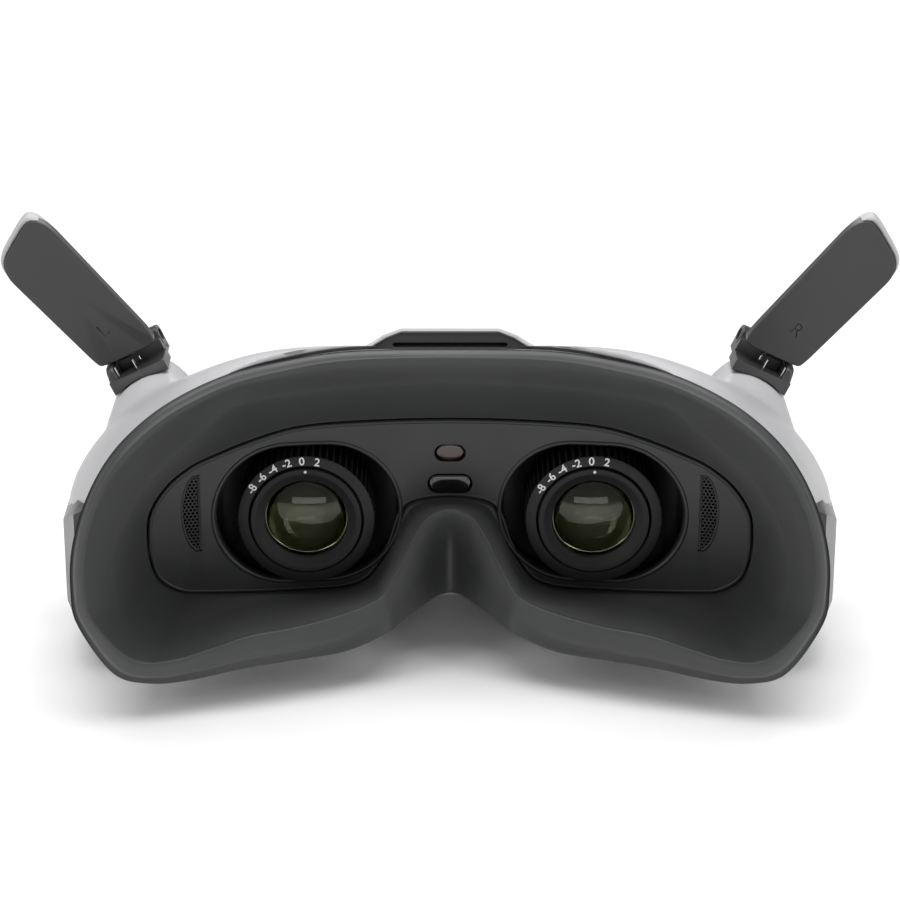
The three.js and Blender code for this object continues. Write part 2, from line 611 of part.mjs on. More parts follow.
function buildFanRotor() {
  const blades = 7;
  const vanes = Array.from({ length: blades }, (_, i) => (
    block([-0.5, -1.9, 2.5], [0.5, 1.9, FAN_R]).rotate([0, 0, 35]).translate([0, 41, 0])
      .rotate([0, 360 * i / blades, 0])
  ));
  return join(rod('y', 4, 39, 42.8, [0, 0], 24), ...vanes);
}

// ---- assembly -----------------------------------------------------------------------------
addNode('front_shell', buildHousing(), 'lightShell');
addNode('face_pad', loft(padLoops, true), 'pad');
addNode('pad_frame', buildPadFrame(), 'darkPlastic');
addNode('face_plate', buildFacePlate(), 'plate');
addNode('proximity_window', curvedPlug(stadium(0, 46.1, 3.1, 1.65, 6), 0.5, 1.4), 'amber');
addNode('sensor_window', curvedPlug(stadium(0, 38.9, 4.6, 2, 6), 0.2, 1.7), 'black');

const visorRings = [[46.35, 1], [48.6, 0.985], [51.6, 0.93], [53.9, 0.83]].map(([y, scale]) => (
  housingRing(HOUSING_SECTIONS.at(-1), 0, 1).map(([x, , z]) => [x * scale, y, 25 + (z - 25) * scale])
));
const INTAKE_ROWS = [16, 19.5, 23, 26.5, 30, 33.5];
const intakes = INTAKE_ROWS.map((z) => prismY(stadium(0, z, 8.5, 0.9, 4), 44, 56));
const cameraHoles = [-1, 1].map((side) => rod('y', 4.2 + GAP, 44, 56, [side * 25, 28], 28));
addNode('front_visor', cut(loft(visorRings), ...intakes, ...cameraHoles), 'visor');

const ventPanel = cut(
  crown(0.9 + GAP, CROWN_REAR_Y + 0.4),
  block([-40, CROWN_REAR_Y + 2.2, 40], [40, 60, 90]),
  block([-40, -20, 40], [40, 10, 69.8]),
  prismY(stadium(0, 70.9, 12.4, 0.6, 4), -20, 0),
);
addNode('vent_panel', ventPanel, 'darkPlastic');

const cover = { x: coverHole.x - GAP, y0: coverHole.y0 + GAP, y1: coverHole.y1 - GAP };
const screwSpots = [[-9.9, 28.7], [9.9, 28.7], [-9.9, 39.3], [9.9, 39.3]];
const coverHoles = screwSpots.map((spot) => rod('z', 0.9 + GAP, -1, 3, spot, 16));
const coverSlots = [31, 34, 37].map((y) => block([-6, y - 0.7, -1], [6, y + 0.7, 3]));
const coverSlab = block([-cover.x, cover.y0, 0.1], [cover.x, cover.y1, 1.05]);
addNode('bottom_cover', cut(coverSlab, ...coverHoles, ...coverSlots), 'darkPlastic');
screwSpots.forEach((spot, i) => {
  const slot = block([spot[0] - 0.5, spot[1] - 0.15, 0], [spot[0] + 0.5, spot[1] + 0.15, 0.5]);
  addNode(`cover_screw_${i + 1}`, cut(rod('z', 0.9, 0.15, 1.05, spot, 16), slot), 'steel');
});

sockets.forEach(({ name, x, w, d }) => {
  const outerBox = block([x - w / 2, SOCKET_Y - d / 2, 0.5], [x + w / 2, SOCKET_Y + d / 2, 8.6]);
  const bores = {
    usb_socket: () => prismZ(stadium(x, SOCKET_Y, 4.1, 1.3, 6), -1, 7),
    audio_socket: () => rod('z', 1.8, -1, 7.4, [x, SOCKET_Y], 20),
    card_slot: () => block([x - 5.6, SOCKET_Y - 0.5, -1], [x + 5.6, SOCKET_Y + 0.5, 7.4]),
    power_socket: () => rod('z', 1.9, -1, 7.4, [x, SOCKET_Y], 20),
  };
  addNode(name, cut(outerBox, bores[name]()), 'black');
});

addNode('main_board', block([-42, 30.6, 12], [42, 32.2, 44]), 'board');
const fins = Array.from({ length: 13 }, (_, i) => (
  block([-36.6 + 6 * i, 33.5, 14], [-35.4 + 6 * i, 37.2, 42])
));
addNode('heat_sink', join(block([-40, 32.6, 14], [40, 34, 42]), ...fins), 'aluminium');
const fanGroup = new THREE.Group();
fanGroup.position.set(0, 0, FAN_Z);
goggles.add(fanGroup);
addNode('fan_housing', buildFanHousing(), 'black', fanGroup);
addNode('fan_rotor', buildFanRotor(), 'black', fanGroup);

addNode('lower_guide_rod', rod('x', ROD_R, -60.2, 60.2, [ROD_Y, ROD_Z[0]], 16), 'steel');
addNode('upper_guide_rod', rod('x', ROD_R, -60.2, 60.2, [ROD_Y, ROD_Z[1]], 16), 'steel');

const antenna = buildAntenna();
SIDES.forEach(([name, side]) => {
  addNode(`${name}_grille`, onSide(curvedPlug(grilleOutline(GAP), 0.6, 1), side), 'black');
  addNode(`${name}_temple_plate`, onSide(buildTemplePlate(), side), 'darkPlastic');
  const bar = rod('z', STRAP_BAR.r, ...STRAP_BAR.z, [side * STRAP_BAR.x, STRAP_BAR.y], 16);
  addNode(`${name}_strap_bar`, bar, 'steel');
  addNode(`${name}_front_camera`, rod('y', 4.2, 46.6, 53.2, [side * 25, 28], 28), 'black');

  const bracketSheet = join(block([57.6, 5, 14], [60.6, 11, 51.8]), block([57.6, -7.6, 19], [60.6, 6, 37]));
  const bracket = cut(
    bracketSheet.intersect(inside(WALL + GAP)),
    ...ROD_Z.map((z) => rod('x', ROD_R + 0.3, 50, 70, [ROD_Y, z], 16)),
  );
  addNode(`${name}_rod_bracket`, onSide(bracket, side), 'darkPlastic');

  const hinge = new THREE.Group();
  hinge.position.set(side * PIN.x, PIN.y, PIN.z);
  hinge.rotation.y = side * THREE.MathUtils.degToRad(PIN.tilt);
  goggles.add(hinge);
  addNode(`${name}_antenna_collar`, onSide(antenna.collar, side), 'darkPlastic', hinge);
  addNode(`${name}_antenna_pin`, onSide(antenna.pin, side), 'steel', hinge);
  addNode(`${name}_antenna_body`, onSide(antenna.blade, side), 'lightShell', hinge);
  addNode(`${name}_antenna_cover`, onSide(antenna.cover, side), 'darkPlastic', hinge);

  const module = new THREE.Group();
  module.position.set(side * LENS_X, 0, LENS_Z);
  goggles.add(module);
  addNode(`${name}_lens_carriage`, buildCarriage(), 'black', module);
  addNode(`${name}_diopter_ring`, buildDiopterRing(), 'ring', module);
  addNode(`${name}_lens_barrel`, buildBarrel(), 'ring', module);
  addNode(`${name}_eye_lens`, buildEyeLens(), 'glass', module);
  addNode(`${name}_focus_wheel`, buildFocusWheel(), 'darkPlastic', module);
  addNode(`${name}_display`, block([-11.8, 20, -10], [11.8, 26, 10]), 'black', module);
});

['link', 'power'].forEach((name, i) => {
  const side = i === 0 ? -1 : 1;
  const spot = [side * BUTTON.x, BUTTON.y];
  const button = join(rod('z', BUTTON.r, 50.5, BUTTON.top, spot), rod('z', BUTTON.flange, 48.6, 50.6, spot));
  addNode(`${name}_button`, button, 'darkPlastic');
});

goggles.position.y = -MIDDLE_Y;

export default goggles;
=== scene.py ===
# %% [markdown]
# FPV goggles, seen from the side that the face goes into.
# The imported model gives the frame: every rigid part is already in its place, in metres, and moves with
# its body. This file builds the looks round it: the soft pad, the moulded housing, the optics and the
# antennas, each as its own piece, and the materials.

# %% Frame
import json
import math

import bmesh
import bpy
import numpy as np
from mathutils import Matrix, Vector


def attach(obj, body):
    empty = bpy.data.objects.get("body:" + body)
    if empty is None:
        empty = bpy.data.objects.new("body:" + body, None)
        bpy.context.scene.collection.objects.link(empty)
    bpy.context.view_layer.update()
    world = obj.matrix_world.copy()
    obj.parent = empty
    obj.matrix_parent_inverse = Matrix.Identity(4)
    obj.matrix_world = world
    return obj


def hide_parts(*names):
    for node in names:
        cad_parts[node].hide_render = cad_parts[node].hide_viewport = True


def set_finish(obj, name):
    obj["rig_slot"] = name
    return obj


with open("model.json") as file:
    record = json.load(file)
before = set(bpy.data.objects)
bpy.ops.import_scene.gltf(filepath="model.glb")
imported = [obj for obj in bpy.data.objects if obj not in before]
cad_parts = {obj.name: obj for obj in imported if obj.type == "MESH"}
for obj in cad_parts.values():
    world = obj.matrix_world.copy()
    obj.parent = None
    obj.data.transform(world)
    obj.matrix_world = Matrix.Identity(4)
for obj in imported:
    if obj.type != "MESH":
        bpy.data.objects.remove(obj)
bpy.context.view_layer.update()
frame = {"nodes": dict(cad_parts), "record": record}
nodes = frame["nodes"]
print("nodes in the frame:", len(nodes))

# %% [markdown]
# Sizes here are in millimetres, as on a maker's drawing, and one function turns them into the frame's
# metres. The drawing's depth is measured from the lens plane, so the middle of the overall depth, which
# is the frame's Y = 0, lies a little in front of it.

# %% Units and sides
MM = 0.001
MIDDLE_Y = 1.95
SIDES = (("left", -1), ("right", 1))


def at(points):
    """Drawing millimetres to frame metres, for one point or an array of them."""
    return (np.asarray(points, float) - (0, MIDDLE_Y, 0)) * MM


print("the lens plane is at Y =", round(float(at((0, 0, 0))[1]), 5), "m")

# %% [markdown]
# The camera looks down by 22 degrees, as someone does who is about to put the goggles on. A wide lens
# close by would make the near edge swell. A long lens from 650 mm keeps the two sides nearly parallel,
# as a catalogue picture does, so that is the one used.

# %% Camera
ELEVATION = math.radians(22)
CAMERA_DISTANCE = 0.65
target = Vector(at((0, 0, 45)))
camera_data = bpy.data.cameras.new("camera")
camera_data.sensor_width = 36
camera_data.lens = 118.7
camera = bpy.data.objects.new("camera", camera_data)
bpy.context.collection.objects.link(camera)
camera.location = target + CAMERA_DISTANCE * Vector((0, -math.cos(ELEVATION), math.sin(ELEVATION)))
camera.rotation_euler = (math.pi / 2 - ELEVATION, 0, 0)
bpy.context.scene.camera = camera
print("camera at", [round(v, 3) for v in camera.location])


# %% [markdown]
# A product this dark shows its shape only by what it mirrors. A single lamp would leave hard spots and
# lose the rest in black. A long soft box above the brow gives each rolled edge one clean line, weaker
# boxes open up the sides, and a white world fills in what is left.

# %% Lights
WORLD_STRENGTH = 0.33
SOFT_BOXES = {      # place, point aimed at, size in metres, watts
    "top_box": ((0, -0.12, 0.95), (0, 0, 0.05), (1.1, 0.5), 8.5),
    "left_box": ((-0.75, -0.45, 0.42), (0, 0, 0.04), (0.35, 0.8), 2.4),
    "right_box": ((0.75, -0.45, 0.42), (0, 0, 0.04), (0.35, 0.8), 2.4),
    "front_box": ((0, -1.0, 0.12), (0, 0, 0.03), (0.9, 0.16), 0.9),
    "back_box": ((0, 0.8, 0.55), (0, 0, 0.06), (1.0, 0.4), 3.5),
}
for name, (place, aim, size, watts) in SOFT_BOXES.items():
    light = bpy.data.lights.new(name, "AREA")
    light.shape = "RECTANGLE"
    light.size, light.size_y = size
    light.energy = watts
    lamp = bpy.data.objects.new(name, light)
    bpy.context.collection.objects.link(lamp)
    lamp.location = place
    lamp.rotation_euler = (Vector(aim) - Vector(place)).to_track_quat("-Z", "Y").to_euler()
    print(name, "gives", watts, "W")

world = bpy.data.worlds.new("studio")
world.use_nodes = True
background = world.node_tree.nodes["Background"]
background.inputs["Color"].default_value = (1, 1, 1, 1)
background.inputs["Strength"].default_value = WORLD_STRENGTH
bpy.context.scene.world = world
bpy.context.scene.view_settings.view_transform = "Standard"


# %% [markdown]
# Most outlines here are symmetric and rounded. They could be curve objects, but a few chosen points
# with a smooth curve through them are shorter to write and easy to offset, so outlines are plain arrays.

# %% Outlines
def smooth_loop(points, steps):
    """A closed Catmull-Rom curve through the points."""
    p = np.asarray(points, float)
    before, after, beyond = np.roll(p, 1, 0), np.roll(p, -1, 0), np.roll(p, -2, 0)
    out = []
    for k in range(steps):
        t = k / steps
        out.append(0.5 * (2 * p + (after - before) * t + (2 * before - 5 * p + 4 * after - beyond) * t ** 2
                          + (3 * p - before - 3 * after + beyond) * t ** 3))
    return np.stack(out, 1).reshape(-1, p.shape[1])


def mirrored(half):
    """A half outline from top centre to bottom centre, made whole."""
    half = [tuple(p) for p in half]
    return half + [(-p[0], *p[1:]) for p in half[-2:0:-1]]


def offset_loop(points, distance):
    """Moves a closed outline, given as (x, z), outwards by distance."""
    p = np.asarray(points, float)
    ahead, behind = np.roll(p, -1, 0), np.roll(p, 1, 0)
    area = np.sum(p[:, 0] * ahead[:, 1] - ahead[:, 0] * p[:, 1])
    tangent = ahead - behind
    normal = np.stack([tangent[:, 1], -tangent[:, 0]], 1) / np.linalg.norm(tangent, axis=1)[:, None]
    return p + normal * distance * np.sign(area)


print("a square smoothed:", len(smooth_loop(mirrored([(0, 1), (1, 0), (0, -1)]), 4)), "points")


# %% [markdown]
# Meshes are made from lofts: rings of points joined by quads, as a modeller skins a set of cross
# sections. It is one way of building that serves the soft pad, the shell and the turned lens parts
# alike, and it gives even quads that subdivide well.

# %% Lofts
def loft_faces(ring_count, ring_size, closed=False):
    faces = []
    for i in range(ring_count if closed else ring_count - 1):
        a, b = i * ring_size, (i + 1) % ring_count * ring_size
        for j in range(ring_size):
            k = (j + 1) % ring_size
            faces.append((a + j, b + j, b + k, a + k))
    return faces


def new_mesh(name, points, faces, sharp=None):
    """A piece from drawing points, with its normals outwards; edges above the sharp angle stay crisp."""
    mesh = bpy.data.meshes.new(name)
    mesh.from_pydata([tuple(p) for p in at(points)], [], faces)
    piece = bpy.data.objects.new(name, mesh)
    bpy.context.collection.objects.link(piece)
    tidy_normals(piece, sharp)
    return piece


def tidy_normals(piece, sharp=None):
    work = bmesh.new()
    work.from_mesh(piece.data)
    bmesh.ops.recalc_face_normals(work, faces=work.faces)
    work.to_mesh(piece.data)
    work.free()
    piece.data.shade_smooth()
    if sharp is not None:
        piece.data.set_sharp_from_angle(angle=math.radians(sharp))


def loft(name, rings, closed=False, caps=True, sharp=None):
    rings = [np.asarray(r, float) for r in rings]
    size = len(rings[0])
    points = np.concatenate(rings)
    faces = loft_faces(len(rings), size, closed)
    if caps and not closed:
        centres = [rings[0].mean(0), rings[-1].mean(0)]
        points = np.concatenate([points, centres])
        last = (len(rings) - 1) * size
        for j in range(size):
            k = (j + 1) % size
            faces.append((j, k, len(points) - 2))
            faces.append((last + k, last + j, len(points) - 1))
    return new_mesh(name, points, faces, sharp)


print("loft helpers ready")


# %% [markdown]
# Holes, slots and joins are boolean cuts, and a bevel then rounds the sharp edges, as a mould does. The
# exact solver is slower than the fast one but it survives faces that lie on each other. Modifiers are
# applied at once, so each piece ends as one plain mesh.

# %% Cutting and rounding
def settle(piece):
    """Turns the piece's modifiers into plain mesh."""
    graph = bpy.context.evaluated_depsgraph_get()
    mesh = bpy.data.meshes.new_from_object(piece.evaluated_get(graph))
    piece.modifiers.clear()
    piece.data = mesh
    return piece


def modified(piece, kind, **values):
    step = piece.modifiers.new(kind.lower(), kind)
    for key, value in values.items():
        setattr(step, key, value)
    return step


def combine(piece, tool, operation):
    modified(piece, "BOOLEAN", object=tool, operation=operation, solver="EXACT")
    settle(piece)
    bpy.data.objects.remove(tool)
    return piece


def carve(piece, *tools):
    for tool in tools:
        combine(piece, tool, "DIFFERENCE")
    return piece


def bevelled(piece, width, segments=3, angle=35):
    """Rounds every edge sharper than the angle, as a mould does."""
    modified(piece, "BEVEL", width=width * MM, segments=segments, limit_method="ANGLE",
             angle_limit=math.radians(angle), miter_outer="MITER_ARC")
    settle(piece)
    tidy_normals(piece, 50)
    modified(piece, "WEIGHTED_NORMAL", keep_sharp=True, weight=80)
    return settle(piece)


print("cutting helpers ready")


# %% [markdown]
# The tools that cut, and the smallest solid pieces, are outlines swept straight. They could be added as
# primitives and scaled, but corners given in drawing millimetres can be checked against the drawing.

# %% Swept tools
def bar(name, low, high):
    """A rectangular solid, given by its two far corners."""
    (a, b, c), (d, e, f) = low, high
    ring = [(a, c), (d, c), (d, f), (a, f)]
    return loft(name, [[(x, y, z) for x, z in ring] for y in (b, e)], sharp=30)


def prism(name, outline, low, high, axis="y"):
    """An outline swept straight along an axis; the outline's two numbers are the other two axes."""
    spot = {"x": lambda p, t: (t, *p), "y": lambda p, t: (p[0], t, p[1]), "z": lambda p, t: (*p, t)}[axis]
    return loft(name, [[spot(p, t) for p in outline] for t in (low, high)], sharp=30)


def circle(cx, cz, radius, count=48):
    turn = np.linspace(0, 2 * math.pi, count, endpoint=False)
    return np.stack([cx + radius * np.cos(turn), cz + radius * np.sin(turn)], 1)


def slot_outline(cx, cz, half_w, half_h, steps=16):
    """A slot with round ends, long along the first axis."""
    turn = np.linspace(-math.pi / 2, math.pi / 2, steps)
    right = np.stack([cx + half_w - half_h + half_h * np.cos(turn), cz + half_h * np.sin(turn)], 1)
    left = np.stack([cx - half_w + half_h - half_h * np.cos(turn), cz - half_h * np.sin(turn)], 1)
    return np.concatenate([right, left])


print("slot outline:", len(slot_outline(0, 0, 2, 1)), "points")


# %% [markdown]
# Every finished piece says three things: the body it moves with, the material slot of the record it
# belongs to, and the plain CAD nodes it stands for. One function says all three, so none is forgotten,
# and the left-hand pieces can be mirrored from the right.

# %% Registering pieces
made = []


def fit(piece, body, slot, *stands_for):
    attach(piece, body)
    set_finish(piece, slot)
    if stands_for:
        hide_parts(*stands_for)
    made.append(piece)
    print(f"{piece.name}: {len(piece.data.polygons)} faces on {body}")
    return piece


def mirror_copy(piece, name):
    """The same piece on the other side of the middle plane."""
    other = bpy.data.objects.new(name, piece.data.copy())
    bpy.context.collection.objects.link(other)
    other.data.transform(Matrix.Scale(-1, 4, (1, 0, 0)))
    other.data.flip_normals()
    return other


# %% [markdown]
# The pad is a soft rubbery ring that closes round the eyes. Its section runs from the seam at the face
# plate, up a slope to an inner step, over a broad face that lies on the skin, across a rolled crest,
# down into a shallow groove and out to a thin rim. Sculpting would be freer, but it must follow the CAD
# pad closely, so it is drawn as half stations round the ring, from the middle of the forehead to the
# nose, with four points at each.

# %% Pad stations
PLATE_BOW = (-4.5, -7.5, 66)        # depth at the middle, depth gained at the side, where the side is
PLATE_SIDE = 70


def plate_y(x):
    """Depth of the face plate, which bends back towards the temples."""
    x = np.minimum(np.abs(x), PLATE_SIDE)
    return PLATE_BOW[0] + PLATE_BOW[1] * (x / PLATE_BOW[2]) ** 2


STATIONS = [   # rim, crest, ledge, seam (x and z only)
    [(0, -21, 76), (0, -24, 75.3), (0, -17, 67.5), (0, 54.3)],
    [(22, -22.5, 76.2), (21.5, -25.5, 75.2), (21, -18.5, 67), (21.5, 53.9)],
    [(37.5, -27, 75.2), (36.5, -30, 74), (36, -21.5, 66), (33.7, 53)],
    [(48, -31, 73.5), (46.5, -34, 72.3), (45.5, -24, 64.5), (43.2, 50.4)],
    [(58.5, -36.5, 69.7), (56.8, -39.5, 68.5), (52, -25, 59.5), (50.5, 47.7)],
    [(66.2, -41.5, 64.6), (64, -44, 63.6), (58.6, -28, 54.5), (56, 45.3)],
    [(71.3, -45, 58.7), (69, -47.5, 58.2), (64, -30, 49.3), (61.4, 41)],
    [(75.2, -47.5, 50.8), (72.6, -49.5, 51), (68.6, -33, 42.3), (65.2, 35.1)],
    [(77.7, -48, 41.7), (74.8, -50, 42.5), (71, -36, 35.4), (66, 29)],
    [(78.4, -47, 32.5), (75.5, -49, 34), (71, -36, 27.6), (65.6, 23.5)],
    [(77.7, -45, 23.8), (74.2, -47, 26), (69, -33, 20), (63.8, 18.5)],
    [(71.3, -41, 10.5), (67, -44, 15.2), (62, -30, 15.5), (59.2, 15.2)],
    [(63.9, -39, 7), (59, -42.5, 14), (55.5, -26, 15.8), (53.9, 14.4)],
    [(55.2, -37, 6.8), (51, -40, 15.6), (48.5, -21, 15.9), (48, 14)],
    [(44.3, -34, 8), (42.6, -38, 18), (41, -16, 15.2), (40.8, 13.7)],
    [(33.4, -31, 8.5), (32.4, -34, 18.4), (31.2, -12, 14.2), (32, 13.7)],
    [(22.5, -28.5, 9.4), (22, -30, 19.9), (22.5, -10, 14.6), (23.7, 14)],
    [(14, -25, 12), (15.2, -26, 21.4), (16.6, -10, 16.8), (18.4, 15.8)],
    [(10.8, -21, 12.8), (12.6, -24, 24.2), (13.8, -10, 20.6), (15.2, 19.6)],
    [(7.9, -15, 12.7), (10.1, -21.5, 28), (11.4, -10, 26), (12.5, 24.6)],
    [(5.1, -10, 12.6), (7.7, -19, 32.3), (9.2, -9, 30.6), (10.7, 30.3)],
    [(2.7, -6, 12.4), (4.5, -17.5, 36.6), (6.3, -8, 34.2), (8.3, 34.1)],
    [(0, -4, 12.2), (0, -17, 38.2), (0, -7, 35), (0, 35.3)],
]
FIRST_NOSE = 17                     # stations from here on belong to the nose arch
NOSE_WALL = [(14.4, -25, 17.8), (12.5, -22, 18.6), (10, -17, 20), (7.2, -11, 22.5), (3.8, -6, 26),
             (0, -3, 27.4)]
print("pad stations:", len(STATIONS))


# %% [markdown]
# A smooth loop runs through each kind of point: rim, crest, ledge and seam. Two more are worked out from
# them, the wall outside the crest and the back face that rests on the pad frame. At the nose the groove
# and the deep back fade away, because the pad is a single thin fold there.

# %% Pad loops
WALL_SHARE = (0.55, 0.3, 0.55)      # how far the wall lies from the crest towards the rim
OUTER_SHARE, INNER_SHARE = 0.22, 0.12
NOSE_INNER_SHARE = 0.06
BACK_DEPTH, NOSE_BACK_DEPTH = 9, 3


def whole(half, steps=5):
    return smooth_loop(mirrored(half), steps)


rim = whole([s[0] for s in STATIONS])
crest = whole([s[1] for s in STATIONS])
ledge = whole([s[2] for s in STATIONS])
seam_half = [(s[3][0], float(plate_y(s[3][0])), s[3][1]) for s in STATIONS]
seam = whole(seam_half)
seam[:, 1] = plate_y(seam[:, 0])
nose_amount = whole([(0, 0, 1.0 if i > FIRST_NOSE else 0.5 if i == FIRST_NOSE else 0.0)
                     for i in range(len(STATIONS))])[:, 2:]
nose_amount = np.clip(nose_amount, 0, 1)
shoulder = [tuple(np.array(s[1]) + (np.array(s[0]) - s[1]) * WALL_SHARE) for s in STATIONS]
wall = whole(shoulder[:FIRST_NOSE] + NOSE_WALL)


def back_corner(station, i, which):
    """The outer, middle or inner point of the back face at one station."""
    r, s = np.array(station[0], float), np.array(seam_half[i])
    nose = i >= FIRST_NOSE
    outer = r + (s - r) * (0 if nose else OUTER_SHARE)
    outer[1] = r[1] + (NOSE_BACK_DEPTH if nose else BACK_DEPTH)
    inner = s + (r - s) * (NOSE_INNER_SHARE if nose else INNER_SHARE)
    inner[1] = s[1] + NOSE_BACK_DEPTH
    return outer + (inner - outer) * (0, 0.5, 1)[which]


backs = [whole([tuple(back_corner(s, i, k)) for i, s in enumerate(STATIONS)]) for k in range(3)]
print("pad loops of", len(rim), "points")


# %% [markdown]
# Between those loops more are blended in to set how soft each corner is: two loops close together make
# a crisp corner after subdivision, and loops far apart make a broad, soft one. Cloth simulation suits
# stuffed fabric, but this is a moulded foam skin that keeps its shape, so subdivision alone is used.

# %% Pad mesh
PAD_GROOVE = 1.7
groove_depth = np.array((0, PAD_GROOVE, 0)) * (1 - nose_amount)
BLENDS = [      # from, to, share of the way, push in depth, share of the groove
    (seam, ledge, 0.0, 2.2, 0), (seam, ledge, 0.0, 0.4, 0), (seam, ledge, 0.02, -0.5, 0),
    (seam, ledge, 0.12, -0.2, 0), (seam, ledge, 0.45, 0.9, 0), (seam, ledge, 0.86, 0.7, 0),
    (seam, ledge, 0.97, 0.2, 0), (ledge, crest, 0.05, -0.3, 0), (ledge, crest, 0.3, -1.0, 0),
    (ledge, crest, 0.62, -1.1, 0), (ledge, crest, 0.86, -0.8, 0), (crest, wall, 0.02, 0, 0),
    (crest, wall, 0.6, 0.3, 0), (wall, rim, 0.15, 0, 0.2), (wall, rim, 0.45, 0, 1),
    (wall, rim, 0.8, 0, 0.5), (rim, backs[0], 0.02, 0, 0), (rim, backs[0], 0.2, 0, 0),
    (rim, backs[0], 0.7, 0, 0), (backs[0], backs[1], 0.05, 0, 0),
]
pad_rings = [a + (b - a) * share + np.array((0, push, 0)) + groove_depth * groove
             for a, b, share, push, groove in BLENDS] + backs[1:]
face_pad = loft("face_pad_soft", pad_rings, closed=True)
modified(face_pad, "SUBSURF", levels=2, render_levels=2)
settle(face_pad)
tidy_normals(face_pad)
fit(face_pad, "housing", "face_pad", "face_pad")


# %% [markdown]
# The pad sits on a dark frame that follows its back edge, seen only as a thin line between the pad and
# the shell. It could be cut from a slab, but the pad's own back loops, moved in depth, fit it exactly:
# three in front and three behind make its closed section.

# %% Pad frame
FRAME_FRONT, FRAME_BACK = 1.6, 5


def moved(loop, y):
    """The same loop at another depth."""
    return loop + np.array((0, y, 0))


pad_frame = loft("pad_frame_ring",
                 [moved(b, FRAME_FRONT) for b in backs] + [moved(b, FRAME_BACK) for b in backs[::-1]],
                 closed=True, sharp=40)
fit(pad_frame, "housing", "dark_plastic", "pad_frame")

# %% [markdown]
# The housing is one light shell. Eight cross sections give its shape from the pad to the visor. A plain
# spline through them would bulge between two that are close together. Here each point follows a curve
# that never overshoots, so the side shoulders stay as tight as drawn.

# %% Housing sections
SECTIONS = [   # depth, then half an outline (x, z) from top centre to bottom centre
    (-44, [(0, 70), (22, 69.5), (42, 66.5), (57, 59), (67, 48.5), (72, 36),
           (71.5, 24), (66.5, 14), (56, 9.5), (32, 9.5), (0, 14)]),
    (-24, [(0, 73), (22, 72.5), (42, 69), (58, 61), (70, 50), (76, 37),
           (75.5, 24), (69.5, 13), (57, 7.5), (32, 6.5), (0, 12)]),
    (-10, [(0, 71.8), (22, 72.2), (42, 70.3), (60, 62.6), (74, 50), (81.5, 36),
           (81, 22), (73.5, 10), (58, 4.5), (32, 3), (0, 9)]),
    (2, [(0, 67.8), (22, 68.4), (42, 66.6), (60, 60.2), (75, 49.5), (83.7, 35),
         (83, 20), (75, 7.5), (58, 1.8), (32, 0.6), (0, 3.5)]),
    (12, [(0, 63.8), (22, 63), (42, 62.2), (58, 56), (71, 46.5), (78, 33.5),
          (77, 19), (70, 6.5), (56, 1), (32, 0), (0, 0)]),
    (19, [(0, 60.8), (20, 60.2), (36, 57.6), (47, 52.5), (53, 44), (55.5, 32),
          (55, 18), (51, 7), (42, 1.2), (28, 0), (0, 0)]),
    (34, [(0, 54.3), (20, 53.8), (34, 51.8), (43.5, 47), (49.5, 39.5), (52, 30),
          (51.5, 18), (48, 8), (40, 2), (26, 0), (0, 0)]),
    (46, [(0, 48.2), (18, 47.7), (30, 46), (39, 41.8), (44.5, 35.5), (47, 28),
          (46.3, 18.5), (43, 9.5), (35, 4), (22, 2), (0, 2)]),
]
SHELL_WALL = 2.2
section_depths = np.array([y for y, _ in SECTIONS], float)
section_rings = np.array([smooth_loop(mirrored(half), 4) for _, half in SECTIONS])


def monotone(xs, ys, x):
    """A cubic through (xs, ys) that doesn't overshoot; ys may be arrays of points."""
    h = np.diff(xs)[:, None, None]
    d = np.diff(ys, axis=0) / h
    slope = np.zeros_like(ys)
    same = d[:-1] * d[1:] > 0
    safe = np.where(same, d[:-1] + d[1:], 1)
    slope[1:-1] = np.where(same, 2 * d[:-1] * d[1:] / safe, 0)
    slope[0], slope[-1] = d[0], d[-1]
    i = int(np.clip(np.searchsorted(xs, x) - 1, 0, len(xs) - 2))
    t, w = (x - xs[i]) / (xs[i + 1] - xs[i]), xs[i + 1] - xs[i]
    return ((2 * t ** 3 - 3 * t ** 2 + 1) * ys[i] + (t ** 3 - 2 * t ** 2 + t) * w * slope[i]
            + (3 * t ** 2 - 2 * t ** 3) * ys[i + 1] + (t ** 3 - t ** 2) * w * slope[i + 1])


def shell_ring(y, grow=0.0):
    """The housing's outline at one depth, kept above the plane it rests on."""
    outline = offset_loop(monotone(section_depths, section_rings, y), grow)
    outline[:, 1] = np.maximum(outline[:, 1], -grow if grow < 0 else 0)
    return np.stack([outline[:, 0], np.full(len(outline), y), outline[:, 1]], 1)


SHELL_REAR, SHELL_FRONT = -44, 46
outer_shell = loft("shell", [shell_ring(y) for y in np.arange(SHELL_REAR, SHELL_FRONT + 0.1, 2)])
print("housing loft:", len(outer_shell.data.polygons), "faces")


# %% [markdown]
# Each antenna stands on a root that grows out of the shell in one sweep. Modelling that fillet by hand
# is slow. Instead a rough hull is joined on, and the whole is remeshed and relaxed, which melts the root
# into the shell with the soft fillets of a moulding. The openings come later, so that they stay crisp.

# %% Antenna roots and their fillets
def convex(name, corners):
    """The convex hull of a few corners."""
    mesh = bpy.data.meshes.new(name)
    work = bmesh.new()
    for corner in at(corners):
        work.verts.new(corner)
    found = bmesh.ops.convex_hull(work, input=work.verts)
    bmesh.ops.delete(work, geom=[g for g in found["geom_interior"] if isinstance(g, bmesh.types.BMVert)],
                     context="VERTS")
    work.to_mesh(mesh)
    work.free()
    piece = bpy.data.objects.new(name, mesh)
    bpy.context.collection.objects.link(piece)
    return piece


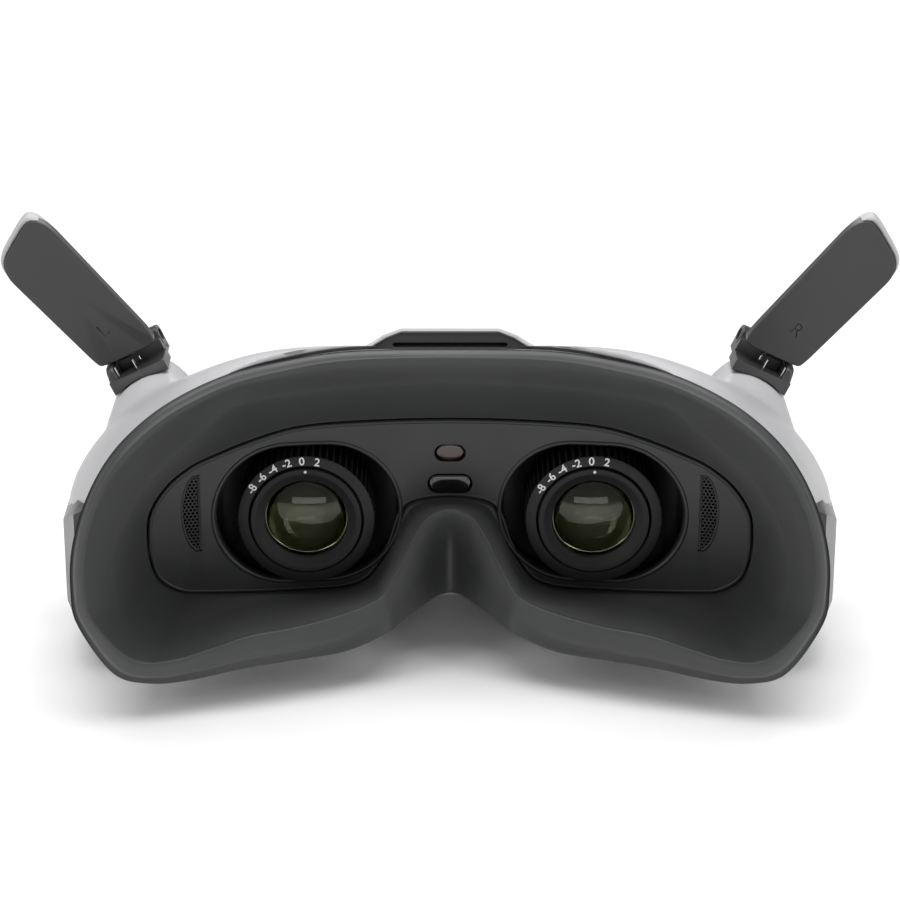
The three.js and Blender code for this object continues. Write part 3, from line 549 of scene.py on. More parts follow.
ROOT_FOOT = [(55, 46), (74, 42), (77, 44.5), (75, 49), (70, 53), (58, 56.5)]
ROOT_TOP = [(61.5, 58), (73.2, 52.3), (73.8, 53.4), (70.8, 56.6), (67, 58.9), (62.3, 59.8)]
ROOT_FOOT_DEPTHS, ROOT_TOP_DEPTHS = (1, 17), (9.5, 18.8)
VOXEL = 1.0
RELAX_STEPS = 7
root_corners = [(x, y, z) for outline, ys in ((ROOT_FOOT, ROOT_FOOT_DEPTHS), (ROOT_TOP, ROOT_TOP_DEPTHS))
                for y in ys for x, z in outline]
for _, side in SIDES:
    combine(outer_shell, convex("root", [(side * x, y, z) for x, y, z in root_corners]), "UNION")
modified(outer_shell, "REMESH", mode="VOXEL", voxel_size=VOXEL * MM, use_smooth_shade=True)
modified(outer_shell, "SMOOTH", factor=0.5, iterations=RELAX_STEPS)
settle(outer_shell)
print("housing after fillets:", len(outer_shell.data.polygons), "faces")

# %% [markdown]
# The crown is a low hood on top of the shell that carries the air outlet at its rear. It has flat faces
# and one narrow chamfer round the rear face, which shows as a pale line. Remeshing would blunt that
# chamfer, so the crown is lofted apart, bevelled a little and joined on after the roots.

# %% Crown
CROWN_REAR, CROWN_FRONT = -4.6, 40
CROWN_CHAMFER = 0.85
CROWN_NARROWING, CROWN_FLATTENING = 0.8, 0.5
CROWN_HEIGHT, CROWN_FRONT_HEIGHT = 70, 45
CROWN = [(-20.5, 66), (-20.3, 69.9), (-14.5, 73.6), (-10.6, 75.2),
         (10.6, 75.2), (14.5, 73.6), (20.3, 69.9), (20.5, 66)]


def crown_rings(inset, from_y, to_y=CROWN_FRONT - 1):
    """Two outlines of the crown, which gets narrower and lower towards the front."""
    rear = offset_loop(CROWN, -inset)
    front = np.stack([rear[:, 0] * CROWN_NARROWING,
                      CROWN_FRONT_HEIGHT + (rear[:, 1] - CROWN_HEIGHT) * CROWN_FLATTENING], 1)
    rings = []
    for y in (from_y, to_y):
        t = (y - CROWN_REAR) / (CROWN_FRONT - CROWN_REAR)
        flat = rear + (front - rear) * t
        rings.append(np.stack([flat[:, 0], np.full(len(flat), y), flat[:, 1]], 1))
    return rings


rear_edge = crown_rings(CROWN_CHAMFER, CROWN_REAR)[0]
full_rear, front_end = crown_rings(0, CROWN_REAR + CROWN_CHAMFER)
crown = bevelled(loft("crown", [rear_edge, full_rear, front_end], sharp=20), 0.2, 2, 12)
combine(outer_shell, crown, "UNION")
print("housing with crown:", len(outer_shell.data.polygons), "faces")


# %% [markdown]
# The shell is a thin wall, and three things are taken out of it: the nose arch from below, the hollow,
# and the whole space behind the pad. A solidify modifier would fold over itself at the tight shoulders,
# so the hollow is a second, smaller loft, with the nose arch kept solid in it.

# %% Hollow
def nose_arch(grow):
    """A wedge under the nose, open at the rear and low at the front."""
    rear = [(-34 - grow, -3), (34 + grow, -3), (13 + grow, 21 + grow), (0, 28 + grow),
            (-13 - grow, 21 + grow)]
    front = [(-11 - grow, -3), (11 + grow, -3), (6 + grow, -0.5 + grow), (0, 0.2 + grow),
             (-6 - grow, -0.5 + grow)]
    return loft("arch", [[(x, -46, z) for x, z in rear], [(x, 25, z) for x, z in front]])


hollow_depths = [-60, *np.arange(-42, 43.9, 3), 43.8]
hollow = loft("hollow", [shell_ring(max(y, SHELL_REAR), -SHELL_WALL) * (1, 0, 1) + (0, y, 0)
                         for y in hollow_depths])
carve(hollow, nose_arch(SHELL_WALL))
behind_loops = [moved(b, 7) for b in backs]
spread = behind_loops[0] * (1.5, 1, 1.5) + (0, -4, -20)
flat_spread = spread * (1, 0, 1) + (0, -70, 0)
behind = loft("behind", [flat_spread, spread, *behind_loops])
carve(outer_shell, nose_arch(0), hollow, behind)
print("hollow shell:", len(outer_shell.data.polygons), "faces")

# %% [markdown]
# Last come the small openings: a recess with a slot for each focus wheel, a hole for each button, a
# pocket for each socket, the rebate of the bottom cover, and the air path from the intake to the crown
# outlet. They are cut with crisp edges, since a real mould has steel inserts there.

# %% Openings
LENS_X, LENS_Z = 31.3, 32.5
BUTTON = (30, 26)
BUTTON_HOLE = 3.75
POCKET = (14.5, 10.2, 20, 7.5)      # half width, near edge, far edge, depth of a wheel recess
PLAY = 0.35                         # room round each socket
SOCKETS = {"usb": (-34, 9.2, 3.6), "audio": (-22, 6, 6), "card": (22, 12, 2.6), "power": (34, 8, 8)}
SOCKET_Y = 29
for _, side in SIDES:
    x = side * LENS_X
    pocket_floor = bar("floor", (x - 16.3, 9.3, 0.3), (x + 16.3, 21.8, 9.3))
    combine(outer_shell, pocket_floor, "UNION")
    carve(outer_shell,
          bar("pocket", (x - POCKET[0], POCKET[1], -1), (x + POCKET[0], POCKET[2], POCKET[3])),
          bar("slot", (x - 13, 10.6, 5), (x + 13, 16.9, 10.3)),
          prism("hole", circle(side * BUTTON[0], BUTTON[1], BUTTON_HOLE), 45, 70, "z"))
for x, width, depth in SOCKETS.values():
    carve(outer_shell, bar("socket", (x - width / 2 - PLAY, SOCKET_Y - depth / 2 - PLAY, -1),
                           (x + width / 2 + PLAY, SOCKET_Y + depth / 2 + PLAY, 6)))
carve(outer_shell,
      bar("rebate", (-12, 26.5, -1), (12, 41.5, 1.4)),
      bar("service", (-9, 29.5, -1), (9, 38.5, 4)),
      prism("intake", circle(0, 26, 10), 40, 50),
      carve(loft("outlet", crown_rings(1.2, CROWN_REAR - 1), sharp=20),
            bar("keep", (-40, CROWN_REAR + 3.4, 20), (40, 60, 90))),
      bar("duct", (-11, -6, 60), (11, 4, 71.4)))
outer_shell.name = "front_shell_moulded"
tidy_normals(outer_shell, 32)
fit(outer_shell, "housing", "light_shell", "front_shell")

# %% [markdown]
# A moulded plastic never has one flat tone. Three effects are shared by most finishes here: the fine
# grain etched into the mould, the broad uneven tone that hands and dust leave, and the polish that edges
# get from being touched. Copying the nodes into every material would work, but a node group is built
# once and takes its own values in each.

# %% Node helpers
def effect(name, inputs, outputs):
    """An empty node group with named number inputs and outputs."""
    tree = bpy.data.node_groups.new(name, "ShaderNodeTree")
    for label, value in inputs.items():
        socket = tree.interface.new_socket(name=label, in_out="INPUT", socket_type="NodeSocketFloat")
        socket.default_value = value
    for label in outputs:
        tree.interface.new_socket(name=label, in_out="OUTPUT", socket_type="NodeSocketFloat")
    start, end = tree.nodes.new("NodeGroupInput"), tree.nodes.new("NodeGroupOutput")
    place = tree.nodes.new("ShaderNodeTexCoord")
    return tree, start, end, place.outputs["Object"]


def wire(tree, kind, links=None, **values):
    """A node with its inputs either set to a value or linked from an output."""
    node = tree.nodes.new(kind)
    for key, value in values.items():
        setattr(node, key, value)
    for key, value in (links or {}).items():
        if isinstance(value, bpy.types.NodeSocket):
            tree.links.new(value, node.inputs[key])
        else:
            node.inputs[key].default_value = value
    return node


print("node helpers ready")

# %% [markdown]
# The grain is noise times the distance to scattered cells, which gives small pits of unlike depth. The
# tone is broad noise stretched between two values. The polish finds convex edges by their pointiness,
# and breaks them up with noise, because hands never rub an edge evenly.

# %% Shared effects
grain, g_in, g_out, g_place = effect("mould_grain", {"Scale": 2600}, ["Height"])
g_fine = wire(grain, "ShaderNodeTexNoise", {"Vector": g_place, "Scale": g_in.outputs["Scale"], "Detail": 2.0})
g_cells = wire(grain, "ShaderNodeTexVoronoi", {"Vector": g_place, "Scale": g_in.outputs["Scale"]})
g_both = wire(grain, "ShaderNodeMath", {0: g_fine.outputs["Fac"], 1: g_cells.outputs["Distance"]},
              operation="MULTIPLY")
grain.links.new(g_both.outputs[0], g_out.inputs["Height"])

tone, t_in, t_out, t_place = effect("uneven_tone", {"Scale": 30, "Low": 0.0, "High": 1.0}, ["Amount"])
t_broad = wire(tone, "ShaderNodeTexNoise", {"Vector": t_place, "Scale": t_in.outputs["Scale"], "Detail": 4.0})
t_range = wire(tone, "ShaderNodeMapRange", {"Value": t_broad.outputs["Fac"], "From Min": 0.35, "From Max": 0.65,
                                            "To Min": t_in.outputs["Low"], "To Max": t_in.outputs["High"]})
tone.links.new(t_range.outputs[0], t_out.inputs["Amount"])

wear, w_in, w_out, w_place = effect("edge_polish", {"Amount": 0.5}, ["Mask"])
w_shape = wire(wear, "ShaderNodeNewGeometry")
w_edge = wire(wear, "ShaderNodeMapRange",
              {"Value": w_shape.outputs["Pointiness"], "From Min": 0.52, "From Max": 0.62})
w_patch = wire(wear, "ShaderNodeTexNoise", {"Vector": w_place, "Scale": 160.0, "Detail": 3.0})
w_mix = wire(wear, "ShaderNodeMath", {0: w_edge.outputs[0], 1: w_patch.outputs["Fac"]}, operation="MULTIPLY")
w_amount = wire(wear, "ShaderNodeMath", {0: w_mix.outputs[0], 1: w_in.outputs["Amount"]}, operation="MULTIPLY")
wear.links.new(w_amount.outputs[0], w_out.inputs["Mask"])
print("shared effects:", [g.name for g in (grain, tone, wear)])


# %% [markdown]
# One recipe serves every moulded finish: two close colours mixed by the uneven tone, a third, paler one
# on polished edges, a roughness that wanders a little, and the mould's grain as a bump a few microns
# deep. Values that don't vary are set on the shader's own sockets.

# %% Moulded recipe
finishes = {}


def use(tree, group, **values):
    """Places a shared effect in a material, with its own values."""
    node = tree.nodes.new("ShaderNodeGroup")
    node.node_tree = group
    for key, value in values.items():
        node.inputs[key].default_value = value
    return node


def blend_colour(tree, amount, first, second):
    """Mixes two colours by an amount; the first may come from another node."""
    node = tree.nodes.new("ShaderNodeMix")
    node.data_type = "RGBA"
    tree.links.new(amount, node.inputs["Factor"])
    for key, value in (("A", first), ("B", second)):
        if isinstance(value, bpy.types.NodeSocket):
            tree.links.new(value, [s for s in node.inputs if s.name == key and s.type == "RGBA"][0])
        else:
            [s for s in node.inputs if s.name == key and s.type == "RGBA"][0].default_value = (*value, 1)
    return [s for s in node.outputs if s.type == "RGBA"][0]


def moulded(name, colour, deeper, worn, rough, grain_scale=2600, grain_depth=0.006, polish=0.5, **fixed):
    finish = bpy.data.materials.new(name)
    finish.use_nodes = True
    tree = finish.node_tree
    shader = tree.nodes["Principled BSDF"]
    for key, value in fixed.items():
        shader.inputs[key.replace("_", " ")].default_value = value
    patches = use(tree, tone, Scale=34)
    edges = use(tree, wear, Amount=polish)
    body = blend_colour(tree, patches.outputs["Amount"], colour, deeper)
    tree.links.new(blend_colour(tree, edges.outputs["Mask"], body, worn), shader.inputs["Base Color"])
    gloss = use(tree, tone, Scale=60, Low=rough - 0.04, High=rough + 0.05)
    tree.links.new(gloss.outputs["Amount"], shader.inputs["Roughness"])
    texture = use(tree, grain, Scale=grain_scale)
    bump = wire(tree, "ShaderNodeBump", {"Height": texture.outputs["Height"], "Distance": grain_depth * MM,
                                         "Strength": 1.0})
    tree.links.new(bump.outputs[0], shader.inputs["Normal"])
    finishes[name] = finish


print("the recipe uses", [group.name for group in (grain, tone, wear)])

# %% [markdown]
# Each finish is the recipe with its own values: two body colours, the colour of polished edges, the
# roughness, then the grain's scale and depth and how much the edges are polished. The plastics are
# kept apart by gloss more than by colour, as on the real one, where almost everything is near black.

# %% Moulded finishes
moulded("light_shell", (0.42, 0.418, 0.428), (0.385, 0.383, 0.394), (0.52, 0.518, 0.53),
        0.42, 3200, 0.010)
moulded("face_pad", (0.026, 0.027, 0.028), (0.022, 0.023, 0.024), (0.034, 0.035, 0.036),
        0.5, 3000, 0.008, 0.3, Sheen_Weight=0.12, Sheen_Roughness=0.5)
moulded("dark_plastic", (0.030, 0.031, 0.033), (0.025, 0.026, 0.028), (0.07, 0.07, 0.075),
        0.45, 3000, 0.010)
moulded("face_plate", (0.022, 0.023, 0.0235), (0.019, 0.0195, 0.02), (0.05, 0.05, 0.05),
        0.42, 3600, 0.008)
moulded("visor_gloss", (0.008, 0.008, 0.010), (0.006, 0.006, 0.007), (0.02, 0.02, 0.022),
        0.10, 300, 0.002, 0.3, Coat_Weight=0.6, Coat_Roughness=0.05)
moulded("black_plastic", (0.009, 0.009, 0.009), (0.007, 0.007, 0.007), (0.03, 0.03, 0.03),
        0.5)
moulded("lens_ring", (0.0095, 0.0097, 0.0097), (0.008, 0.0082, 0.0082), (0.045, 0.045, 0.045),
        0.5, 3600, 0.008, Specular_IOR_Level=0.3)
moulded("sensor_glass", (0.004, 0.004, 0.0045), (0.003, 0.003, 0.0035), (0.01, 0.01, 0.01),
        0.08, 300, 0.001, 0.2, Coat_Weight=0.8, Coat_Roughness=0.04)
moulded("amber_window", (0.045, 0.022, 0.017), (0.035, 0.018, 0.014), (0.07, 0.04, 0.03),
        0.18, 300, 0.001, 0.2, Coat_Weight=0.6, Coat_Roughness=0.06)
moulded("steel", (0.48, 0.49, 0.51), (0.4, 0.41, 0.43), (0.7, 0.7, 0.72),
        0.28, 4000, 0.004, 0.6, Metallic=1.0)
moulded("aluminium", (0.52, 0.53, 0.55), (0.44, 0.45, 0.47), (0.7, 0.7, 0.72),
        0.38, 2400, 0.006, 0.6, Metallic=1.0)
moulded("board", (0.012, 0.08, 0.035), (0.010, 0.06, 0.028), (0.3, 0.25, 0.1),
        0.35, 1200, 0.006, 0.3)
moulded("blade_cover", (0.030, 0.030, 0.031), (0.026, 0.026, 0.027), (0.09, 0.09, 0.09),
        0.36, 3000, 0.008, 0.6)
moulded("temple_cover", (0.028, 0.028, 0.029), (0.024, 0.024, 0.025), (0.08, 0.08, 0.08),
        0.46, 3000, 0.005, 0.6, Coat_Weight=0.25, Coat_Roughness=0.18)
moulded("crown_panel", (0.105, 0.105, 0.107), (0.095, 0.095, 0.097), (0.12, 0.12, 0.12),
        0.4, 3000, 0.008)
moulded("marking_white", (0.78, 0.78, 0.77), (0.7, 0.7, 0.69), (0.85, 0.85, 0.85),
        0.5)
print("finishes:", len(finishes))


# %% [markdown]
# Coated glass is nearly clear, with a faint olive cast in what it lets through. A glossy opaque disc
# would be quicker, but it shows one reflection. The body of each lens is real refracting glass, so both
# of its curved faces mirror the studio, once near and once far, as a real eyepiece does. A dark coated
# element stands behind it.

# %% Optical finishes
COAT_WEIGHT, COAT_ROUGHNESS = 0.12, 0.02


def glassy(name, tint, rough, transmission, ior, base):
    finish = bpy.data.materials.new(name)
    finish.use_nodes = True
    tree = finish.node_tree
    shader = tree.nodes["Principled BSDF"]
    smear = use(tree, tone, Scale=90, Low=rough, High=rough + 0.03)
    tree.links.new(smear.outputs["Amount"], shader.inputs["Roughness"])
    cast = use(tree, tone, Scale=45)
    tree.links.new(blend_colour(tree, cast.outputs["Amount"], base, tint), shader.inputs["Base Color"])
    shader.inputs["Transmission Weight"].default_value = transmission
    shader.inputs["IOR"].default_value = ior
    shader.inputs["Coat Weight"].default_value = COAT_WEIGHT
    shader.inputs["Coat Roughness"].default_value = COAT_ROUGHNESS
    shader.inputs["Coat Tint"].default_value = (*tint, 1)
    finishes[name] = finish


glassy("lens_glass", (0.62, 0.66, 0.46), 0.01, 1.0, 1.42, (0.64, 0.67, 0.50))
glassy("inner_element", (0.085, 0.092, 0.034), 0.16, 0.0, 1.5, (0.06, 0.065, 0.026))
print("finishes with the optical ones:", len(finishes))

# %% [markdown]
# A piece is painted by the name of a finish. The pieces made so far get theirs from their slot, and so
# does every CAD node, because a node that stays in view must not keep a plain colour either.

# %% Painting
def coat(piece, finish):
    piece.data.materials.clear()
    piece.data.materials.append(finishes[finish])
    return piece


def finish_piece(piece, body, slot, *stands_for, finish=None):
    """Paints a piece and registers it."""
    return fit(coat(piece, finish or slot), body, slot, *stands_for)


node_slot = {part["node"]: part["material_slot"] for part in frame["record"]["subparts"]}
for piece in made:
    coat(piece, piece["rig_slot"])
for name, node in nodes.items():
    for material_slot in node.material_slots:
        material_slot.material = finishes[node_slot[name]]
print("painted:", len(made), "pieces and", len(nodes), "nodes")

# %% [markdown]
# The floor is a plain pale sheet. A curved backdrop would do as well, but a large flat sheet meets the
# white world without a visible line. It lies a hair below zero, so that it doesn't fight with the flat
# underside of the housing.

# %% Floor
FLOOR_HALF, FLOOR_DROP = 6, -2e-5       # metres
floor_mesh = bpy.data.meshes.new("floor")
floor_mesh.from_pydata([(x * FLOOR_HALF, y * FLOOR_HALF, FLOOR_DROP)
                        for x, y in ((-1, -1), (1, -1), (1, 1), (-1, 1))], [], [(0, 1, 2, 3)])
floor = bpy.data.objects.new("floor", floor_mesh)
bpy.context.collection.objects.link(floor)
moulded("floor", (0.9, 0.9, 0.9), (0.88, 0.88, 0.88), (0.9, 0.9, 0.9), 0.6, 200, 0.0)
coat(floor, "floor")
print("floor:", 2 * FLOOR_HALF, "m across")


# %% [markdown]
# The face plate is one dark panel that bows back towards the temples, with two slot-shaped windows. Two
# helpers are needed first: a slab with the plate's bow, and a strip that carries a small profile round
# any outline on that bow, for rolled edges and lips.

# %% Face plate helpers
PLATE_THICK = 2.2
seam_xz = seam[:, [0, 2]]


def bowed_slab(name, front, back, columns=96):
    """A slab as high as the plate, between two depths from its bow."""
    x = np.linspace(-72, 72, columns)
    strip = np.concatenate([np.stack([x, plate_y(x) + front], 1), np.stack([x, plate_y(x) + back], 1)[::-1]])
    return loft(name, [[(a, b, z) for a, b in strip] for z in (0, 70)], sharp=30)


def edge_strip(name, outline, profile, sharp=None):
    """A profile of (outwards, depth) points carried round an outline on the plate's bow."""
    rings = []
    for outwards, depth in profile:
        loop = offset_loop(outline, outwards)
        rings.append(np.stack([loop[:, 0], plate_y(loop[:, 0]) + depth, loop[:, 1]], 1))
    return loft(name, rings, closed=True, sharp=sharp)


print("the plate bows back by", round(float(plate_y(0) - plate_y(PLATE_BOW[2])), 1), "mm")

# %% [markdown]
# One way to cut the plate is to draw every opening into its outline. Cutting them out of a slab is
# simpler, and a bevel would follow: but the exact cuts leave long thin faces there that shade badly. So
# the panel stops short of the seam, and a separate strip rolls its edge over into it.

# %% Face plate
EDGE_W = 0.9
SEAM_GAP = 0.35
WINDOW = (31.15, 32.8, 19.75, 15.6)     # centre x and z, half width, half height
LIP = 1.1
GRILLE_X = (54.2, 55.6, 2.9)            # straight side, bowed side at the ends, its bow
GRILLE_Z = (25, 43)
GRILLE_FULLNESS = 0.62                  # below 1, the bow is blunter than a sine
SENSOR_SPOTS = ((46.1, 3.1, 1.65), (38.9, 4.6, 2.0))    # height, half width, half height
THROUGH = (-30, 10)                     # depths that pass right through the plate


def grille_outline(inset, steps=14):
    """The crescent of the right-hand vent, drawn in by the inset."""
    t = np.linspace(0, 1, steps)
    low_z, high_z = GRILLE_Z[0] + inset, GRILLE_Z[1] - inset
    bow_x = GRILLE_X[1] + GRILLE_X[2] * np.sin(math.pi * t) ** GRILLE_FULLNESS - inset
    bow = np.stack([bow_x, low_z + (high_z - low_z) * t], 1)
    return np.concatenate([bow, [(GRILLE_X[0] + inset, high_z), (GRILLE_X[0] + inset, low_z)]])


plate = bowed_slab("face_plate_panel", 0, PLATE_THICK)
combine(plate, prism("outline", offset_loop(seam_xz, -SEAM_GAP - EDGE_W), *THROUGH), "INTERSECT")
for _, side in SIDES:
    window = slot_outline(side * WINDOW[0], WINDOW[1], WINDOW[2] + LIP, WINDOW[3] + LIP, 32)
    carve(plate, prism("window", window, *THROUGH), prism("vent", grille_outline(0) * (side, 1), *THROUGH))
for z, half_w, half_h in SENSOR_SPOTS:
    carve(plate, prism("sensor", slot_outline(0, z, half_w + SEAM_GAP, half_h + SEAM_GAP), *THROUGH))
tidy_normals(plate, 40)
finish_piece(plate, "housing", "face_plate", "face_plate")
rolled_edge = edge_strip("face_plate_edge", offset_loop(seam_xz, -SEAM_GAP),
                         [(-EDGE_W, 0), (-0.5, 0.02), (-0.2, 0.14), (-0.05, 0.38), (0, 0.8),
                          (0, PLATE_THICK), (-EDGE_W, PLATE_THICK)])
finish_piece(rolled_edge, "housing", "face_plate")

# %% [markdown]
# Round each window a raised lip with a long chamfer leads the eye into the black recess. A bevel on the
# cut edge can't stand proud of the panel, so the lip is a closed profile carried round the window.

# %% Window lips
LIP_PROFILE = [(LIP, 0.05), (LIP, 0.0), (LIP - 0.15, -0.2), (LIP - 0.45, -0.3), (0.35, -0.22), (0.12, 0.1),
               (0, 0.7), (0, 3.4), (0.7, 3.4), (0.9, 1.6)]
for name, side in SIDES:
    window = slot_outline(side * WINDOW[0], WINDOW[1], WINDOW[2], WINDOW[3], 40)
    finish_piece(edge_strip(f"{name}_window_lip", window, LIP_PROFILE), "housing", "face_plate")

# %% [markdown]
# Each side vent is covered by a honeycomb. A bump texture would look flat from the side. Here hexagonal
# cells are laid in staggered rows inside the crescent, and each is a short six-sided tube, so the mesh
# has real depth and catches light on its rims.

# %% Honeycomb helpers
CELL = 0.86                             # from one cell's centre to the next in a row
ROW_STEP, CORNER_REACH = 0.866, 0.577   # of a cell: between rows, and from centre to corner
RIM = 0.16
HONEY_DEPTH = (0.45, 1.5)
HONEY_START = (54.2, 25)
ROWS, COLUMNS = 26, 8
GRILLE_BORDER = 0.35


def inside_outline(point, outline):
    """Whether a point lies in an outline, by counting the edges to its right."""
    hit = False
    for (ax, az), (bx, bz) in zip(outline, np.roll(outline, -1, 0)):
        if (az > point[1]) != (bz > point[1]) and point[0] < (bx - ax) * (point[1] - az) / (bz - az) + ax:
            hit = not hit
    return hit


def honeycomb(name):
    """Six-sided tubes packed into the crescent."""
    points, faces = [], []
    border = grille_outline(GRILLE_BORDER)
    turn = math.pi / 6 + np.arange(6) * math.pi / 3
    for row in range(ROWS):
        for column in range(COLUMNS):
            x = HONEY_START[0] + CELL * (column + 0.5 * (row % 2))
            z = HONEY_START[1] + CELL * ROW_STEP * row
            if not inside_outline((x, z), border):
                continue
            base = len(points)
            for depth in HONEY_DEPTH:
                for radius in (CELL * CORNER_REACH, CELL * CORNER_REACH - RIM):
                    for angle in turn:
                        px = x + radius * math.cos(angle)
                        points.append((px, float(plate_y(px)) + depth, z + radius * math.sin(angle)))
            for j in range(6):
                k = (j + 1) % 6
                a, b, c, d = base, base + 6, base + 12, base + 18
                faces += [(a + j, a + k, b + k, b + j), (b + j, b + k, d + k, d + j),
                          (c + j, d + j, d + k, c + k), (a + j, c + j, c + k, a + k)]
    return new_mesh(name, points, faces, 30)


print("cells are at most", ROWS * COLUMNS, "a side before the crescent cuts them")

# %% [markdown]
# The right grille is made once and mirrored, because the two are a pair from one mould. A thin black
# surround closes the gap between the cells and the opening in the plate.

# %% Grilles
SURROUND = [(0.3, 0.3), (0.3, 1.6), (-0.12, 1.6), (-0.12, 0.35)]
right_mesh = honeycomb("right_grille_mesh")
right_surround = edge_strip("right_grille_surround", grille_outline(GRILLE_BORDER), SURROUND, sharp=40)
for name, side in SIDES:
    mesh_piece = right_mesh if side > 0 else mirror_copy(right_mesh, "left_grille_mesh")
    surround = right_surround if side > 0 else mirror_copy(right_surround, "left_grille_surround")
    finish_piece(mesh_piece, "housing", "face_plate", f"{name}_grille", finish="black_plastic")
    finish_piece(surround, "housing", "face_plate", finish="black_plastic")

# %% [markdown]
# Between the lenses are two windows, a small amber one that senses the face and a glossy black one
# below it. A flat pane would mirror one tone. Both are shallow pillows with rolled rims, a little below
# the plate, so that each catches a thin line of light round its edge.

# %% Sensor windows
AMBER = [(-3.1, 46.1), (-1.7, 47.75), (1.7, 47.75), (3.1, 46.1), (1.7, 44.45), (-1.7, 44.45)]


def pillow(name, outline, front, back, crown_height):
    """A slot-shaped pane with a rolled rim and a slight crown."""
    rings = []
    steps = ((0, back), (0, front + 0.35), (0.08, front + 0.12), (0.25, front), (0.7, front - crown_height))
    for inset, depth in steps:
        loop = offset_loop(outline, -inset)
        rings.append(np.stack([loop[:, 0], plate_y(loop[:, 0]) + depth, loop[:, 1]], 1))
    return loft(name, rings)


finish_piece(pillow("face_sensor", smooth_loop(AMBER, 6), 0.55, 1.9, 0.05), "housing", "amber_window",
             "proximity_window")
finish_piece(pillow("light_sensor", slot_outline(0, *SENSOR_SPOTS[1], 20), 0.2, 1.9, 0.12), "housing",
             "sensor_glass", "sensor_window")


# %% [markdown]
# An eyepiece turns in three layers. The outer ring has sixty fine teeth and printed numbers, the barrel
# inside it slides to focus and carries one white dot, and the lens sits in the barrel. All are turned
# parts, so one lathe helper makes them. The teeth could be sixty boolean cuts; moving the rim's points
# in and out as the profile turns gives the same teeth with clean quads.

# %% Lathe helper
def lathe(name, centre, profile, count=96, closed=True, wave=None, sharp=35):
    """Turns (radius, depth) points about a lens axis. Wave gives a radius change over the turn."""
    turn = np.linspace(0, 2 * math.pi, count, endpoint=False)
    rings = []
    for i, (radius, y) in enumerate(profile):
        r = np.full(count, float(radius))
        if wave is not None:
            r = r + wave(i, turn)
        rings.append(np.stack([centre[0] + r * np.cos(turn), np.full(count, y), centre[1] + r * np.sin(turn)],
                              1))
    return loft(name, rings, closed=closed, caps=not closed, sharp=sharp)


print("lathe helper ready")

# %% [markdown]
# Each profile is a list of radius and depth, from the real part's section: a sleeve with a flat dial for
# the ring, a stepped tube with a rounded lip that covers the edge of the glass for the barrel, and two
# spherical caps for the lens. Spherical caps are worth the sum, because a real lens is ground that way.

# %% Eyepiece profiles
RING_TEETH = 60
TOOTH = 0.95                            # depth of a tooth
FLANK = 2.2                             # above 1, the flanks are steeper than a wave's
RIM_POINTS = (5, 6)                     # of the profile: the outer cylinder
DIAL_Y = -9.6
ring_profile = [(12.45, 5.4), (12.45, -9.4), (12.62, DIAL_Y), (14.6, DIAL_Y), (14.85, -9.45), (15.0, -9.1),
                (15.0, 5.1), (14.6, 5.4)]


def ring_wave(i, turn):
    """Teeth on the outer cylinder only: flat tops, flat roots and steep flanks."""
    if i not in RIM_POINTS:
        return np.zeros_like(turn)
    ridge = np.cos(RING_TEETH * (turn + math.pi / 2))
    return -TOOTH * (0.5 - 0.5 * np.clip(ridge * FLANK, -1, 1))


barrel_profile = [(11.05, 14), (11.05, -8.8), (11.9, -8.8), (12.1, -9.0), (12.1, -10.0), (11.95, -10.2),
                  (11.0, -10.2), (10.7, -10.1), (9.7, -9.5), (9.2, -9.35), (8.95, -9.0), (8.95, -8.5),
                  (9.7, -8.1), (9.7, 14)]
LENS_RADIUS = 9.4


def dome(edge_y, centre_y, steps=14):
    """Points on a spherical cap, from its edge to its middle."""
    sag = edge_y - centre_y
    curve = (LENS_RADIUS ** 2 + sag ** 2) / (2 * sag)
    radii = np.linspace(LENS_RADIUS, 0.02, steps)
    return [(r, edge_y - (math.copysign(math.sqrt(curve ** 2 - r ** 2), sag) - (curve - sag))) for r in radii]


lens_profile = dome(-5.0, -1.0)[::-1] + dome(-6.8, -9.5)
element_profile = ([(9.5, 2.0), (9.5, -0.6), (9.0, -0.6)]
                   + [(r, -0.6 + (9 ** 2 - r ** 2) / 60) for r in np.linspace(8.8, 0.02, 12)])
dot_profile = [(0.02, -10.24), (0.28, -10.24), (0.33, -10.2), (0.33, -10.1)]
print("profiles:", len(ring_profile), len(barrel_profile), len(lens_profile), "points")

# %% [markdown]
# The dial's numbers are printed on the real ring. An image texture could hold them, but a font curve
# turned into a very thin mesh stays sharp at any distance and turns with the ring.

# %% Dial numbers
NUMBERS = (("2", 11), ("0", -3), ("-2", -17), ("-4", -31), ("-6", -44), ("-8", -58))
NUMBER_RADIUS = 13.65
NUMBER_SIZE, NUMBER_THICK, NUMBER_WEIGHT = 2.55, 0.06, 0.035


def flat_text(name, body, size, thickness, weight=0.0):
    """A line of lettering as a thin, centred mesh."""
    curve = bpy.data.curves.new(name, "FONT")
    curve.body = body
    curve.size = size * MM
    curve.extrude = thickness * MM / 2
    curve.offset = weight * MM
    curve.align_x, curve.align_y = "CENTER", "CENTER"
    words = bpy.data.objects.new(name, curve)
    bpy.context.collection.objects.link(words)
    graph = bpy.context.evaluated_depsgraph_get()
    mesh = bpy.data.meshes.new_from_object(words.evaluated_get(graph))
    bpy.data.objects.remove(words)
    return mesh


